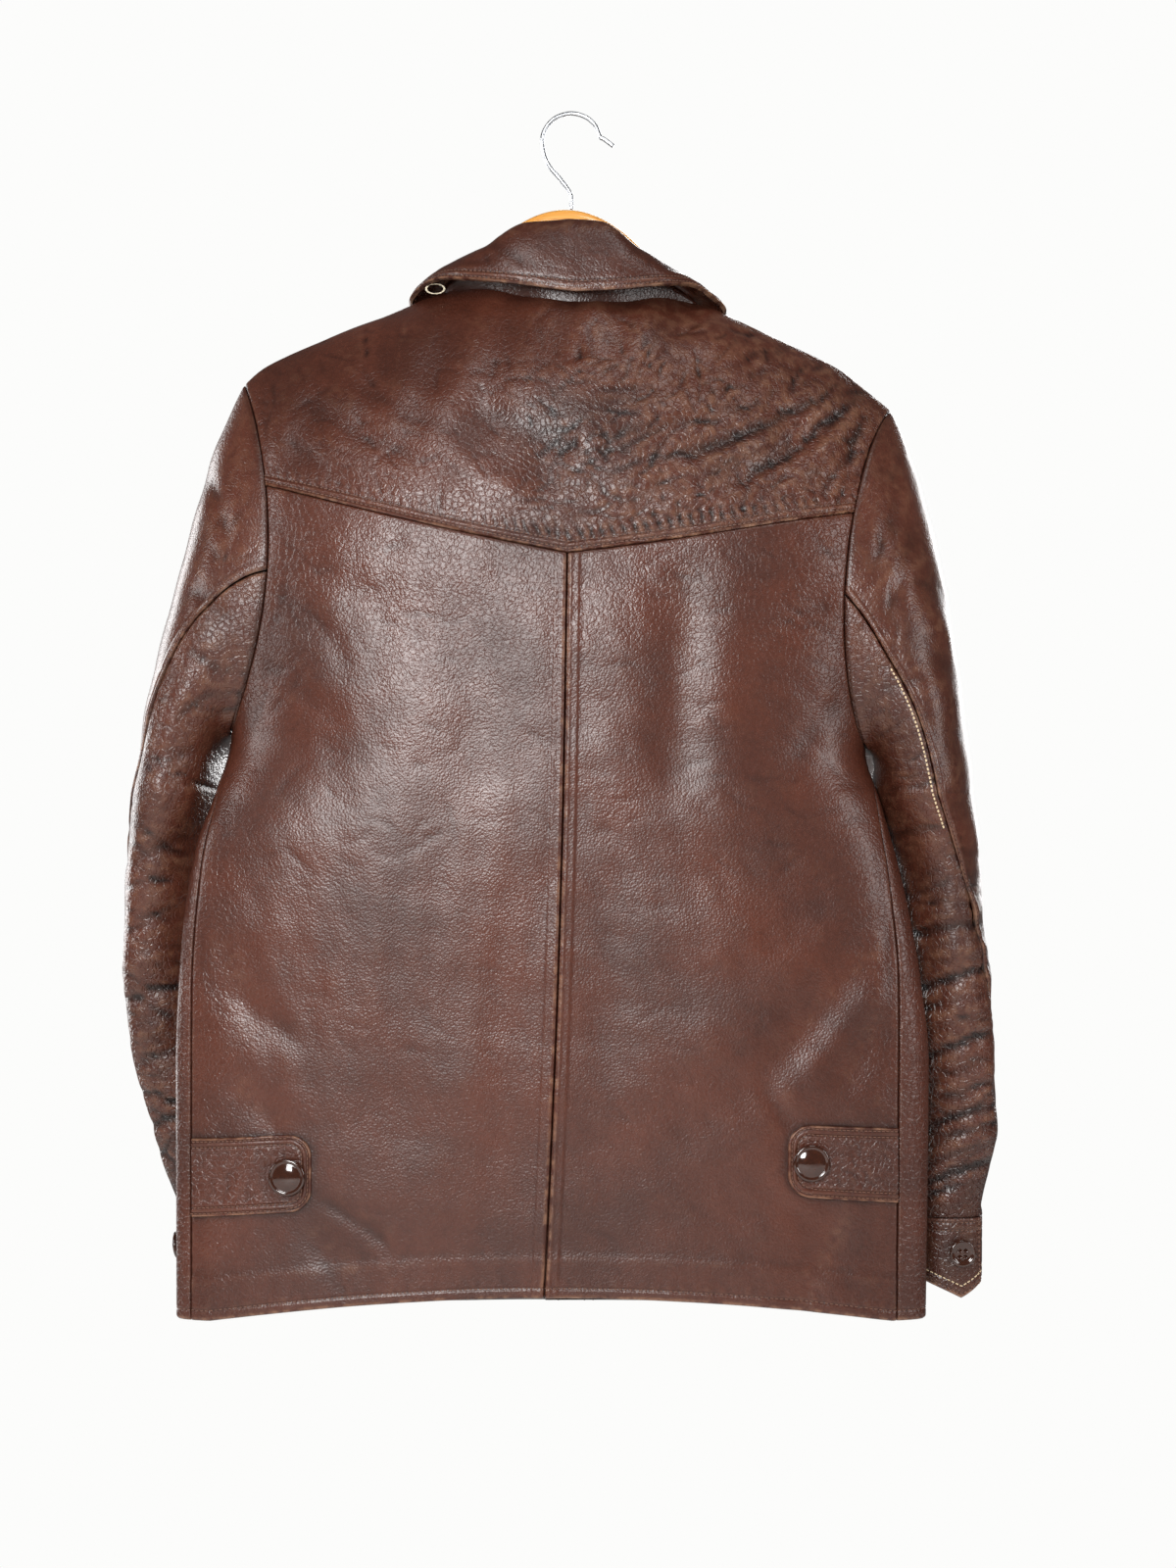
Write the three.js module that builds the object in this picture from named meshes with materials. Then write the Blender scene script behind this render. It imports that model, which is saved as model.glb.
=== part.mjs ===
// A hip-length leather coat hanging on a wooden hanger, as it looks from behind.
// The cloth is built as thin walls: every panel is a grid of points on the coat's outer
// surface, given its thickness towards the inside.
//
// Millimetres. The origin is under the crown of the hanger's hook, where the coat hangs.
// X runs to the right of someone facing the coat's back, Y from the back to the front, Z up.
// Heights are written as drops below the origin. "left" and "right" are that viewer's.
import * as THREE from "three";

// Walls and clearances
const leather = 1.8;
const collarLeather = 2.2;
const tabLeather = 2.6;
const seamGap = 0.3;
const restGap = 0.35;

// Finishes
const brownLeather = { color: 0x54352c, roughness: 0.45, metalness: 0 };
const darkHorn = { color: 0x2c1812, roughness: 0.2, metalness: 0 };
const paleThread = { color: 0xd8cbb4, roughness: 0.8, metalness: 0 };
const varnishedWood = { color: 0xc98a3a, roughness: 0.4, metalness: 0 };
const platedSteel = { color: 0xb9bcc2, roughness: 0.25, metalness: 1 };

// Small tools

const radians = THREE.MathUtils.degToRad;
const mix = THREE.MathUtils.lerp;
const share = (value, from, to) => THREE.MathUtils.smoothstep(value, from, to);
const evenly = (count) => Array.from({ length: count + 1 }, (_, i) => i / count);
const up = new THREE.Vector3(0, 0, 1);

// The largest value between two limits for which the test still holds.
function lastWhere(low, high, test) {
  let [from, to] = [low, high];
  for (let i = 0; i < 40; i += 1) {
    const middle = (from + to) / 2;
    if (test(middle)) from = middle;
    else to = middle;
  }
  return from;
}

// A smooth curve through [position, value] stations, which never overshoots them.
function curveThrough(stations) {
  const rise = (i) => (stations[i + 1][1] - stations[i][1]) / (stations[i + 1][0] - stations[i][0]);
  const last = stations.length - 1;
  const slopes = stations.map((_, i) => {
    if (i === 0) return rise(0);
    if (i === last) return rise(last - 1);
    const [before, after] = [rise(i - 1), rise(i)];
    return before * after <= 0 ? 0 : (2 * before * after) / (before + after);
  });
  return (position) => {
    const p = THREE.MathUtils.clamp(position, stations[0][0], stations[last][0]);
    let i = 0;
    while (i < last - 1 && p > stations[i + 1][0]) i += 1;
    const length = stations[i + 1][0] - stations[i][0];
    const t = (p - stations[i][0]) / length;
    const [t2, t3] = [t * t, t * t * t];
    return (
      (2 * t3 - 3 * t2 + 1) * stations[i][1] +
      (t3 - 2 * t2 + t) * length * slopes[i] +
      (3 * t2 - 2 * t3) * stations[i + 1][1] +
      (t3 - t2) * length * slopes[i + 1]
    );
  };
}

// The unit normal of a surface(a, b), by small steps in both of its parameters.
function normalOf(surface, a, b, stepA, stepB) {
  const alongA = surface(a + stepA, b).sub(surface(a - stepA, b));
  const alongB = surface(a, b + stepB).sub(surface(a, b - stepB));
  return alongA.cross(alongB).normalize();
}

// A closed wall between a grid of outer points and the matching grid of inner points.
function wallBetween(outer, inner) {
  const rows = outer.length;
  const columns = outer[0].length;
  const corners = [...outer.flat(), ...inner.flat()];
  const out = (i, j) => i * columns + j;
  const back = (i, j) => rows * columns + i * columns + j;
  const faces = [];
  const quad = (a, b, c, d) => faces.push(a, b, c, a, c, d);
  for (let i = 0; i < rows - 1; i += 1) {
    for (let j = 0; j < columns - 1; j += 1) {
      quad(out(i, j), out(i + 1, j), out(i + 1, j + 1), out(i, j + 1));
      quad(back(i, j), back(i, j + 1), back(i + 1, j + 1), back(i + 1, j));
    }
    quad(out(i, 0), back(i, 0), back(i + 1, 0), out(i + 1, 0));
    quad(out(i + 1, columns - 1), back(i + 1, columns - 1), back(i, columns - 1), out(i, columns - 1));
  }
  for (let j = 0; j < columns - 1; j += 1) {
    quad(out(0, j + 1), back(0, j + 1), back(0, j), out(0, j));
    quad(out(rows - 1, j), back(rows - 1, j), back(rows - 1, j + 1), out(rows - 1, j + 1));
  }
  return closedGeometry(corners, faces);
}

// A mesh geometry whose faces are turned to point out.
function closedGeometry(corners, faces) {
  const volume = new THREE.Vector3();
  let sixfold = 0;
  for (let i = 0; i < faces.length; i += 3) {
    const [a, b, c] = [corners[faces[i]], corners[faces[i + 1]], corners[faces[i + 2]]];
    sixfold += volume.crossVectors(b, c).dot(a);
  }
  if (sixfold < 0) faces.reverse();
  const geometry = new THREE.BufferGeometry().setFromPoints(corners);
  return geometry.setIndex(faces);
}

// A wall of one thickness, from a grid of { point, normal } on its outer surface.
function wallOf(grid, thickness, liftedBy = 0) {
  const shifted = (by) => grid.map((row) => row.map((g) => g.point.clone().addScaledVector(g.normal, by)));
  return wallBetween(shifted(liftedBy + thickness), shifted(liftedBy));
}

const coat = new THREE.Group();
coat.name = "leather_coat_on_hanger";

function addPiece(name, geometry, finish) {
  const piece = new THREE.Mesh(geometry, new THREE.MeshStandardMaterial(finish));
  piece.name = name;
  coat.add(piece);
  return piece;
}

// The trunk of the coat: a flattened tube that closes into the shoulder line at its top.
// Each level is an oval with its own side edges and its own depth to the back and the front.

const ovalPower = 3;
const leftEdge = curveThrough([
  [180, -237], [430, -234], [470, -243], [505, -254], [570, -264], [650, -268], [830, -268],
]);
const rightEdge = curveThrough([
  [180, 234], [300, 222], [440, 203], [480, 213], [540, 228], [600, 238], [650, 243], [830, 241],
]);
const leftEdgeY = curveThrough([[180, 0], [430, -6], [470, -25], [505, -42], [570, -44], [830, -40]]);
const rightEdgeY = curveThrough([[180, 0], [440, -6], [480, -22], [540, -34], [600, -40], [830, -40]]);
const backY = curveThrough([[100, -74], [300, -76], [450, -74], [650, -70], [830, -66]]);
const frontY = curveThrough([[100, 46], [330, 46], [500, 26], [650, 10], [830, 4]]);

// The shoulder line as a drop at each x. It bridges the neck, where the collar stands.
const shoulderDrop = curveThrough([
  [-227, 187], [-213, 175], [-177, 158], [-128, 139], [-92, 124], [-5, 100],
  [92, 132], [147, 157], [184, 175], [205, 191], [222, 206],
]);
const shoulderReach = 165;
const shoulderRound = 0.7;

// How much of its full depth the trunk has reached at a drop below the shoulder line.
function shoulderShare(below) {
  const t = THREE.MathUtils.clamp(below / shoulderReach, 0, 1);
  return (1 - (1 - t) ** 2) ** shoulderRound;
}

// The largest folds in the back: soft troughs along a line, deepest in its middle.
const backFolds = [
  { from: [78, 318], to: [70, 470], width: 17, depth: 5 },
  { from: [218, 556], to: [128, 660], width: 15, depth: 4.5 },
  { from: [208, 620], to: [180, 672], width: 12, depth: 3 },
  { from: [186, 752], to: [150, 822], width: 13, depth: 4 },
  { from: [-228, 662], to: [-190, 700], width: 13, depth: 3 },
  { from: [-178, 756], to: [-140, 800], width: 12, depth: 2.5 },
  { from: [196, 206], to: [92, 262], width: 10, depth: 3 },
  { from: [178, 232], to: [112, 284], width: 9, depth: 2.5 },
  { from: [-72, 206], to: [-2, 262], width: 18, depth: 3.5 },
  { from: [-238, 560], to: [-205, 640], width: 16, depth: 3 },
];

function foldDepth(x, drop) {
  return backFolds.reduce((sum, fold) => {
    const [dx, dd] = [fold.to[0] - fold.from[0], fold.to[1] - fold.from[1]];
    const length = Math.hypot(dx, dd);
    const along = ((x - fold.from[0]) * dx + (drop - fold.from[1]) * dd) / length;
    const across = ((x - fold.from[0]) * dd - (drop - fold.from[1]) * dx) / length;
    const past = Math.max(0, Math.abs(along - length / 2) - length / 4);
    return sum + fold.depth * Math.exp(-((across / fold.width) ** 2) - (past / (length / 4)) ** 2);
  }, 0);
}

const middleX = (drop) => (leftEdge(drop) + rightEdge(drop)) / 2;
const halfWidth = (drop) => (rightEdge(drop) - leftEdge(drop)) / 2;

// A point of the trunk at an angle round it: 0 at the centre back, minus a quarter turn at the
// left edge, plus a quarter turn at the right edge and a half turn at the centre front.
function trunkAround(angle, drop) {
  const [sine, cosine] = [Math.sin(angle), Math.cos(angle)];
  const x = middleX(drop) + halfWidth(drop) * Math.sign(sine) * Math.abs(sine) ** (2 / ovalPower);
  const depthShare = Math.abs(cosine) ** (2 / ovalPower);
  const edgeY = sine < 0 ? leftEdgeY(drop) : rightEdgeY(drop);
  const faceY = cosine > 0 ? backY(drop) : frontY(drop);
  const flat = edgeY + (faceY - edgeY) * depthShare;
  const fold = cosine > 0 ? foldDepth(x, drop) * share(depthShare, 0.2, 0.7) : 0;
  const rise = shoulderShare(drop - shoulderDrop(x));
  return new THREE.Vector3(x, flat * rise + fold * share(rise, 0.3, 0.8), -drop);
}

// The angle round the trunk at which its back has that x.
function backAngle(x, drop) {
  const k = THREE.MathUtils.clamp((x - middleX(drop)) / halfWidth(drop), -1, 1);
  return Math.sign(k) * Math.asin(Math.abs(k) ** (ovalPower / 2));
}

// The same for its front, counted on from a half turn so that it runs on across the middle.
const frontAngle = (x, drop, side) => side * Math.PI - backAngle(x, drop);

function trunkSpot(angle, drop) {
  const normal = normalOf(trunkAround, angle, drop, 1e-3, 0.02);
  if (normal.dot(new THREE.Vector3(Math.sin(angle), -Math.cos(angle), 0.05)) < 0) normal.negate();
  return { point: trunkAround(angle, drop), normal };
}

// The outer points stand on the trunk and the wall grows inwards.
const trunkWall = (grid) => wallOf(grid, leather, -leather);

// The angle a hair's breadth away from another one, so that two panels meet with a seam between.
function besideSeam(angle, drop, direction) {
  const seam = trunkAround(angle, drop);
  const near = (step) => trunkAround(angle + direction * step, drop).distanceTo(seam) < 0.75 * seamGap;
  return angle + direction * lastWhere(0, 0.2, near);
}

// Armholes: a loop on the trunk from the shoulder point (turn 0) down the back to the underarm
// (a half turn), and with negative turns down the front.
const armholes = {
  left: { side: -1, shoulder: [-226.5, 187], underarm: [-234, 430], inset: 25, insetPower: 2 },
  right: { side: 1, shoulder: [221, 205.5], underarm: [203, 440], inset: 26, insetPower: 1.5 },
};

function armholePlace(arm, turn) {
  const down = (1 - Math.cos(turn)) / 2;
  const inset = arm.inset * Math.abs(Math.sin(turn)) ** arm.insetPower;
  return {
    x: mix(arm.shoulder[0], arm.underarm[0], down) - arm.side * inset,
    drop: mix(arm.shoulder[1], arm.underarm[1], down),
  };
}

function armholeSpot(arm, turn) {
  const { x, drop } = armholePlace(arm, turn);
  const onBack = Math.sin(turn) >= 0;
  return trunkSpot(onBack ? backAngle(x, drop) : frontAngle(x, drop, arm.side), drop);
}

// The direction from the armhole's edge into its opening, along the panel.
function intoArmhole(arm, turn) {
  const { point, normal } = armholeSpot(arm, turn);
  const along = armholeSpot(arm, turn + 0.01).point.sub(armholeSpot(arm, turn - 0.01).point);
  const middle = new THREE.Vector3(
    (arm.shoulder[0] + arm.underarm[0]) / 2 + arm.side * arm.inset,
    0,
    -(arm.shoulder[1] + arm.underarm[1]) / 2,
  );
  const across = along.cross(normal).normalize();
  return across.multiplyScalar(Math.sign(across.dot(middle.sub(point))));
}

// Neckline: the seam that carries the collar, by its turn from the centre back (0) to each side.
const neckHalfWidth = 92;
const neckFrontEase = 6;
const neckDropBack = 35;
const neckDropFront = 92;

function neckPlace(turn) {
  const x = (neckHalfWidth + neckFrontEase * share(-Math.cos(turn), 0, 0.3)) * Math.sin(turn);
  const front = Math.cos(turn) < 0;
  const below = front ? neckDropFront * Math.cos(turn) ** 2 : neckDropBack * Math.cos(turn) ** 4;
  return { x, drop: shoulderDrop(x) + below, front };
}

// Shoulder seams: they run a little in front of the shoulder line.
const shoulderSeamBelow = 8.5;
const neckCornerTurn = Math.PI - Math.acos(Math.sqrt(shoulderSeamBelow / neckDropFront));
const neckCornerX = neckPlace(neckCornerTurn).x;

function armholeBelow(arm, turn) {
  const { x, drop } = armholePlace(arm, turn);
  return Math.max(0, drop - shoulderDrop(x));
}

// Yoke: from the neckline and the shoulder seams down to a shallow V across the back.
const yokePoint = { x: -2.2, drop: 309 };
const yokeLeftSeam = curveThrough([[-207, 261], [-143, 278], [-81, 293], [yokePoint.x, yokePoint.drop]]);
const yokeRightSeam = curveThrough([[yokePoint.x, yokePoint.drop], [70, 299.5], [146, 287], [189, 280]]);
const yokeSeam = (x) => (x < yokePoint.x ? yokeLeftSeam(x) : yokeRightSeam(x));

const yokeRows = 9;
const halfColumns = 13;
const shoulderColumns = 5;
const backArmRows = 4;
const frontArmRows = 8;
const sideRows = 16;

// Each armhole is divided where the panels' rows end on it, and the sleeve uses the same places.
for (const arm of Object.values(armholes)) {
  arm.yokeTurn = lastWhere(0, Math.PI / 2, (turn) => {
    const { x, drop } = armholePlace(arm, turn);
    return drop < yokeSeam(x);
  });
  arm.seamTurn = lastWhere(0, Math.PI / 2, (turn) => armholeBelow(arm, turn) < shoulderSeamBelow);
  arm.frontTurns = evenly(frontArmRows).map((t) => mix(arm.seamTurn, Math.PI, t));
  arm.yokeTurns = evenly(yokeRows).map((t) => mix(-arm.seamTurn, arm.yokeTurn, t));
  arm.backTurns = evenly(backArmRows).map((t) => mix(arm.yokeTurn, Math.PI, t));
}

// A spot by its reach over the shoulder: the root of its drop below the shoulder line, negative
// on the front side.
function reachSpot(x, reach) {
  const drop = shoulderDrop(x) + reach * reach;
  return trunkSpot(reach < 0 ? frontAngle(x, drop, Math.sign(x)) : backAngle(x, drop), drop);
}

// The shoulder seam's x, from the armhole to the neck.
function shoulderSeamX(arm, t) {
  return mix(armholePlace(arm, -arm.seamTurn).x, arm.side * neckCornerX, t);
}

const neckColumns = 2 * (halfColumns - shoulderColumns);
const yokeNeckTurns = evenly(neckColumns).map((t) => mix(-neckCornerTurn, neckCornerTurn, t));

function yokeTopEdge(column) {
  const seamReach = -Math.sqrt(shoulderSeamBelow);
  if (column < shoulderColumns) {
    return { x: shoulderSeamX(armholes.left, column / shoulderColumns), reach: seamReach };
  }
  if (column > shoulderColumns + neckColumns) {
    const t = (2 * halfColumns - column) / shoulderColumns;
    return { x: shoulderSeamX(armholes.right, t), reach: seamReach };
  }
  const { x, drop, front } = neckPlace(yokeNeckTurns[column - shoulderColumns]);
  return { x, reach: (front ? -1 : 1) * Math.sqrt(drop - shoulderDrop(x)) };
}

function yokeBottomEdge(column) {
  const end = (arm) => armholePlace(arm, arm.yokeTurn).x;
  const t = column / halfColumns - 1;
  const x = mix(yokePoint.x, end(t < 0 ? armholes.left : armholes.right), Math.abs(t));
  return { x, reach: Math.sqrt(yokeSeam(x) - seamGap / 2 - shoulderDrop(x)) };
}

function yokeSideEdge(arm, row) {
  const turn = arm.yokeTurns[row];
  return { x: armholePlace(arm, turn).x, reach: Math.sign(turn) * Math.sqrt(armholeBelow(arm, turn)) };
}

function yokeGrid() {
  const columns = 2 * halfColumns;
  const places = evenly(columns).map((_, j) => j);
  const [top, bottom] = [places.map(yokeTopEdge), places.map(yokeBottomEdge)];
  return evenly(yokeRows).map((v, i) => {
    const [left, right] = [yokeSideEdge(armholes.left, i), yokeSideEdge(armholes.right, i)];
    return places.map((j) => {
      const u = j / columns;
      const blend = (key) =>
        mix(top[j][key], bottom[j][key], v) +
        mix(left[key], right[key], u) -
        mix(mix(top[0][key], top[columns][key], u), mix(bottom[0][key], bottom[columns][key], u), v);
      return reachSpot(blend("x"), blend("reach"));
    });
  });
}

addPiece("back_yoke", trunkWall(yokeGrid()), brownLeather);

// Back panels: from the V to the hem, between the centre seam and the armhole and side seam.
const centreSeam = curveThrough([[300, -2.2], [470, -4.8], [620, -9], [720, -13], [830, -18]]);
const sideSeams = {
  left: curveThrough([[430, -234], [470, -240.5], [520, -250], [600, -256], [830, -257]]),
  right: curveThrough([[440, 203], [480, 209], [540, 217], [600, 221.5], [830, 220]]),
};
const hemDrop = 826;
const hemRiseBack = 17;
const hemRiseFront = 4;

// The hem's drop at an x: it hangs lowest at the side seams.
function hemAt(x, rise) {
  const k = Math.min(1, Math.abs(x - middleX(hemDrop)) / (halfWidth(hemDrop) - 24));
  return hemDrop - rise * (1 - k * k);
}

// Where a row of panel ends: on the armhole, and below the underarm on the side seam.
function outerEnds(name, turns) {
  const arm = armholes[name];
  const armEnds = turns.map((turn) => armholePlace(arm, turn));
  const sideEnds = evenly(sideRows).slice(1).map((t) => {
    const drop = mix(arm.underarm[1], hemDrop, t);
    return { x: sideSeams[name](drop), drop };
  });
  return [...armEnds, ...sideEnds];
}

function backPanelGrid(name) {
  const arm = armholes[name];
  const ends = outerEnds(name, arm.backTurns);
  const startDrop = ends[0].drop;
  return ends.map((end) => {
    const v = (end.drop - startDrop) / (hemDrop - startDrop);
    const innerX = centreSeam(mix(yokePoint.drop, hemDrop, v)) + (arm.side * seamGap) / 2;
    return evenly(halfColumns).map((u) => {
      const x = mix(end.x, innerX, u);
      const drop = mix(yokeSeam(x) + seamGap / 2, hemAt(x, hemRiseBack), v);
      const angle = backAngle(x, drop);
      const onSideSeam = u === 0 && end.drop > arm.underarm[1] - 0.01;
      return trunkSpot(onSideSeam ? besideSeam(angle, drop, -arm.side) : angle, drop);
    });
  });
}

addPiece("back_left", trunkWall(backPanelGrid("left")), brownLeather);
addPiece("back_right", trunkWall(backPanelGrid("right")), brownLeather);

// Front panels: from the shoulder seam and neckline to the hem, and from the armhole and the
// side seam, round the side edge, to the buttoned opening. The left front laps over the right.
const openingLap = 18;
const lapLift = leather + 2 * seamGap;
const lapRamp = [-75, -30];
const frontColumns = 14;
const neckEndTurn = Math.PI + Math.asin(openingLap / (neckHalfWidth + neckFrontEase));

const frontNeckTurns = evenly(frontColumns - shoulderColumns).map((t) =>
  mix(neckCornerTurn, neckEndTurn, t),
);

function frontTopEdge(arm, column) {
  if (column < shoulderColumns) {
    const x = shoulderSeamX(arm, column / shoulderColumns);
    return { x, drop: shoulderDrop(x) + shoulderSeamBelow + seamGap };
  }
  return neckPlace(arm.side * frontNeckTurns[column - shoulderColumns]);
}

// Angles spread along a level of the trunk, between two angles.
function anglesAlong(from, to, drop, places) {
  const steps = evenly(160).map((t) => mix(from, to, t));
  const lengths = [0];
  steps.slice(1).forEach((angle, i) => {
    lengths.push(lengths[i] + trunkAround(angle, drop).distanceTo(trunkAround(steps[i], drop)));
  });
  const whole = lengths[lengths.length - 1];
  return places.map((place) => {
    const i = Math.max(1, lengths.findIndex((length) => length >= place * whole - 1e-9));
    return mix(steps[i - 1], steps[i], (place * whole - lengths[i - 1]) / (lengths[i] - lengths[i - 1]));
  });
}

// How far the left front stands off the right one where it laps over it.
const lapAt = (x) => lapLift * share(x, lapRamp[0], lapRamp[1]);

function frontGrid(name) {
  const arm = armholes[name];
  const top = evenly(frontColumns).map((_, j) => frontTopEdge(arm, j));
  const topSpread = top.map((place) => (place.x - top[0].x) / (top[frontColumns].x - top[0].x));
  const [outerTop, innerTop] = [top[0].drop, top[frontColumns].drop];
  const rows = outerEnds(name, arm.frontTurns).map((end, i) => {
    const v = (end.drop - outerTop) / (hemDrop - outerTop);
    const innerDrop = mix(innerTop, hemDrop, v);
    const onSideSeam = end.drop > arm.underarm[1] - 0.01;
    const from = onSideSeam
      ? besideSeam(backAngle(end.x, end.drop), end.drop, arm.side)
      : frontAngle(end.x, end.drop, arm.side);
    const to = frontAngle(-arm.side * openingLap, innerDrop, arm.side);
    const fade = (1 - v) ** 3;
    const places = evenly(frontColumns).map((u, j) => mix(u, topSpread[j], fade));
    const angles = anglesAlong(from, to, Math.max(end.drop, innerTop), places);
    return angles.map((angle, j) => {
      if (i === 0) return trunkSpot(frontAngle(top[j].x, top[j].drop, arm.side), top[j].drop);
      const u = places[j];
      const topRise = (top[j].drop - mix(outerTop, innerTop, u)) * fade;
      const hemRise = v ** 4 * (hemDrop - hemAt(trunkAround(angle, hemDrop).x, hemRiseFront));
      return trunkSpot(angle, mix(end.drop, innerDrop, u) + topRise - hemRise * Math.min(1, 4 * u));
    });
  });
  const lift = (spot) => spot.point.addScaledVector(spot.normal, name === "left" ? lapAt(spot.point.x) : 0);
  rows.flat().forEach(lift);
  return rows;
}

addPiece("front_left", trunkWall(frontGrid("left")), brownLeather);
addPiece("front_right", trunkWall(frontGrid("right")), brownLeather);

// Sleeves: a top sleeve and an under sleeve on each side. Each level below the underarm is an
// oval whose long axis swings outwards from the front-to-back line as the forearm turns forward.
const capEndDrop = 470;
const sleeveEndDrop = 764;
const cuffEndDrop = 812;
const capTension = 0.8;
const underarmFullness = 10;
const rearSeamStart = 1;
const frontSeamStart = 4;
const sleeves = {
  left: {
    arm: armholes.left,
    capSlope: 0.16,
    outerX: curveThrough([
      [470, -302.5], [540, -308.5], [600, -311], [635, -308], [703, -294], [764, -276], [825, -268],
    ]),
    long: curveThrough([[470, 68], [600, 60], [764, 56], [825, 56]]),
    short: curveThrough([[470, 30], [600, 29], [764, 24], [825, 24]]),
    swing: curveThrough([[470, 12], [600, 38], [764, 70], [825, 72]]),
    centreY: curveThrough([[470, 17], [520, 25], [600, 32], [764, 44], [825, 46]]),
    rearSeam: [[0.4, 86], [1, 50], [1.35, 22], [2, 10]],
    frontSeam: [[1, 215], [2, 175]],
  },
  right: {
    arm: armholes.right,
    capSlope: 0.1,
    outerX: curveThrough([
      [470, 278], [532, 284], [600, 290], [668, 294], [702, 297], [730, 292], [764, 287], [825, 287],
    ]),
    long: curveThrough([[470, 67], [600, 61], [764, 52], [825, 52]]),
    short: curveThrough([[470, 35.5], [532, 33], [600, 33], [764, 29], [825, 29]]),
    swing: curveThrough([[470, 6], [600, 22], [764, 50], [825, 52]]),
    centreY: curveThrough([[470, 12], [532, 22], [600, 26], [764, 36], [825, 38]]),
    rearSeam: [[0.4, 104], [1, 92], [1.55, 55], [2, 42]],
    frontSeam: [[1, 240], [2, 205]],
  },
};

// A level of the sleeve: turn 0 points outwards and a quarter turn to the rear.
function sleeveRing(sleeve, turn, drop) {
  const [long, short] = [sleeve.long(drop), sleeve.short(drop)];
  const swing = radians(sleeve.swing(drop));
  const halfAcross = Math.hypot(short * Math.cos(swing), long * Math.sin(swing));
  const outwards = short * Math.cos(turn) * Math.cos(swing) + long * Math.sin(turn) * Math.sin(swing);
  const rearwards = long * Math.sin(turn) * Math.cos(swing) - short * Math.cos(turn) * Math.sin(swing);
  const x = sleeve.outerX(drop) + sleeve.arm.side * (outwards - halfAcross);
  return new THREE.Vector3(x, sleeve.centreY(drop) - rearwards, -drop);
}

// A point of the sleeve: way 0 to 1 is its cap, from the armhole to a level ring, and way 1 to 2
// the arm down to the cuff.
function sleeveAt(sleeve, turn, way) {
  if (way >= 1) return sleeveRing(sleeve, turn, mix(capEndDrop, sleeveEndDrop, way - 1));
  const { point: start, normal } = armholeSpot(sleeve.arm, turn);
  const end = sleeveRing(sleeve, turn, capEndDrop);
  const rise = capTension * (start.z - end.z);
  const bend = end.clone().add(new THREE.Vector3(-sleeve.arm.side * sleeve.capSlope * rise, 0, rise));
  bend.addScaledVector(normal, underarmFullness * Math.sin(turn / 2) ** 6);
  return start
    .multiplyScalar((1 - way) ** 2)
    .addScaledVector(bend, 2 * way * (1 - way))
    .addScaledVector(end, way * way);
}

// At the armhole the sleeve stands a seam's width off, square to the panel it is sewn to.
function sleeveSpot(sleeve, turn, way) {
  const step = 2e-3;
  const surface = (a, b) => sleeveAt(sleeve, a, b);
  const normal = normalOf(surface, turn, THREE.MathUtils.clamp(way, step, 2), step, step);
  normal.multiplyScalar(sleeve.arm.side);
  const point = sleeveAt(sleeve, turn, way);
  if (way === 0) {
    const trunk = armholeSpot(sleeve.arm, turn);
    const alike = share(normal.dot(trunk.normal), -0.2, 0.3);
    point.addScaledVector(intoArmhole(sleeve.arm, turn), seamGap * (1.3 + 1.4 * Math.sin(turn / 2) ** 6));
    point.addScaledVector(trunk.normal, 2 * seamGap * (1 - alike));
    normal.lerp(trunk.normal, alike).normalize();
  }
  return { point, normal };
}

// A sleeve panel between two seams. Its columns leave the armhole at the given turns and spread
// evenly on their way down.
function sleeveGrid(sleeve, fromSeam, toSeam, startTurns, ways) {
  const last = startTurns.length - 1;
  const starts = startTurns.map((turn) => (turn - startTurns[0]) / (startTurns[last] - startTurns[0]));
  return ways.map((way) => {
    const beside = (seam) => {
      const around = sleeveAt(sleeve, seam(way) + 0.01, way).sub(sleeveAt(sleeve, seam(way) - 0.01, way));
      const [above, below] = [Math.max(0, way - 0.01), Math.min(2, way + 0.01)];
      const along = sleeveAt(sleeve, seam(below), below).sub(sleeveAt(sleeve, seam(above), above));
      return (0.02 * (0.6 * seamGap)) / (around.length() * Math.sin(around.angleTo(along)));
    };
    const from = fromSeam(way) + beside(fromSeam);
    const to = toSeam(way) - beside(toSeam);
    return starts.map((start, j) =>
      sleeveSpot(sleeve, mix(from, to, mix(start, j / last, share(way, 0, 0.9))), way),
    );
  });
}

const capWays = [0, 0.08, 0.2, 0.35, 0.5, 0.66, 0.82, 1];
const armWays = [1.12, 1.25, 1.38, 1.5, 1.62, 1.74, 1.86, 1.94, 2];

function addSleeve(name) {
  const sleeve = sleeves[name];
  const { frontTurns, yokeTurns, backTurns } = sleeve.arm;
  const fullTurn = 2 * Math.PI;
  const seam = (startTurn, stations) => {
    const curve = curveThrough([[0, THREE.MathUtils.radToDeg(startTurn)], ...stations]);
    return (way) => radians(curve(way));
  };
  const rear = seam(backTurns[rearSeamStart], sleeve.rearSeam);
  const front = seam(fullTurn - frontTurns[frontSeamStart], sleeve.frontSeam);
  const topTurns = [
    ...frontTurns.slice(0, frontSeamStart + 1).reverse().map((turn) => -turn),
    ...yokeTurns.slice(1),
    ...backTurns.slice(1, rearSeamStart + 1),
  ];
  const underTurns = [
    ...backTurns.slice(rearSeamStart),
    ...frontTurns.slice(frontSeamStart, -1).reverse().map((turn) => fullTurn - turn),
  ];
  const ways = [...capWays, ...armWays];
  const topGrid = sleeveGrid(sleeve, (way) => front(way) - fullTurn, rear, topTurns, ways);
  const underGrid = sleeveGrid(sleeve, rear, front, underTurns, ways);
  addPiece(`sleeve_${name}_top`, trunkWall(topGrid), brownLeather);
  addPiece(`sleeve_${name}_under`, trunkWall(underGrid), brownLeather);
}

addSleeve("left");
addSleeve("right");

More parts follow.
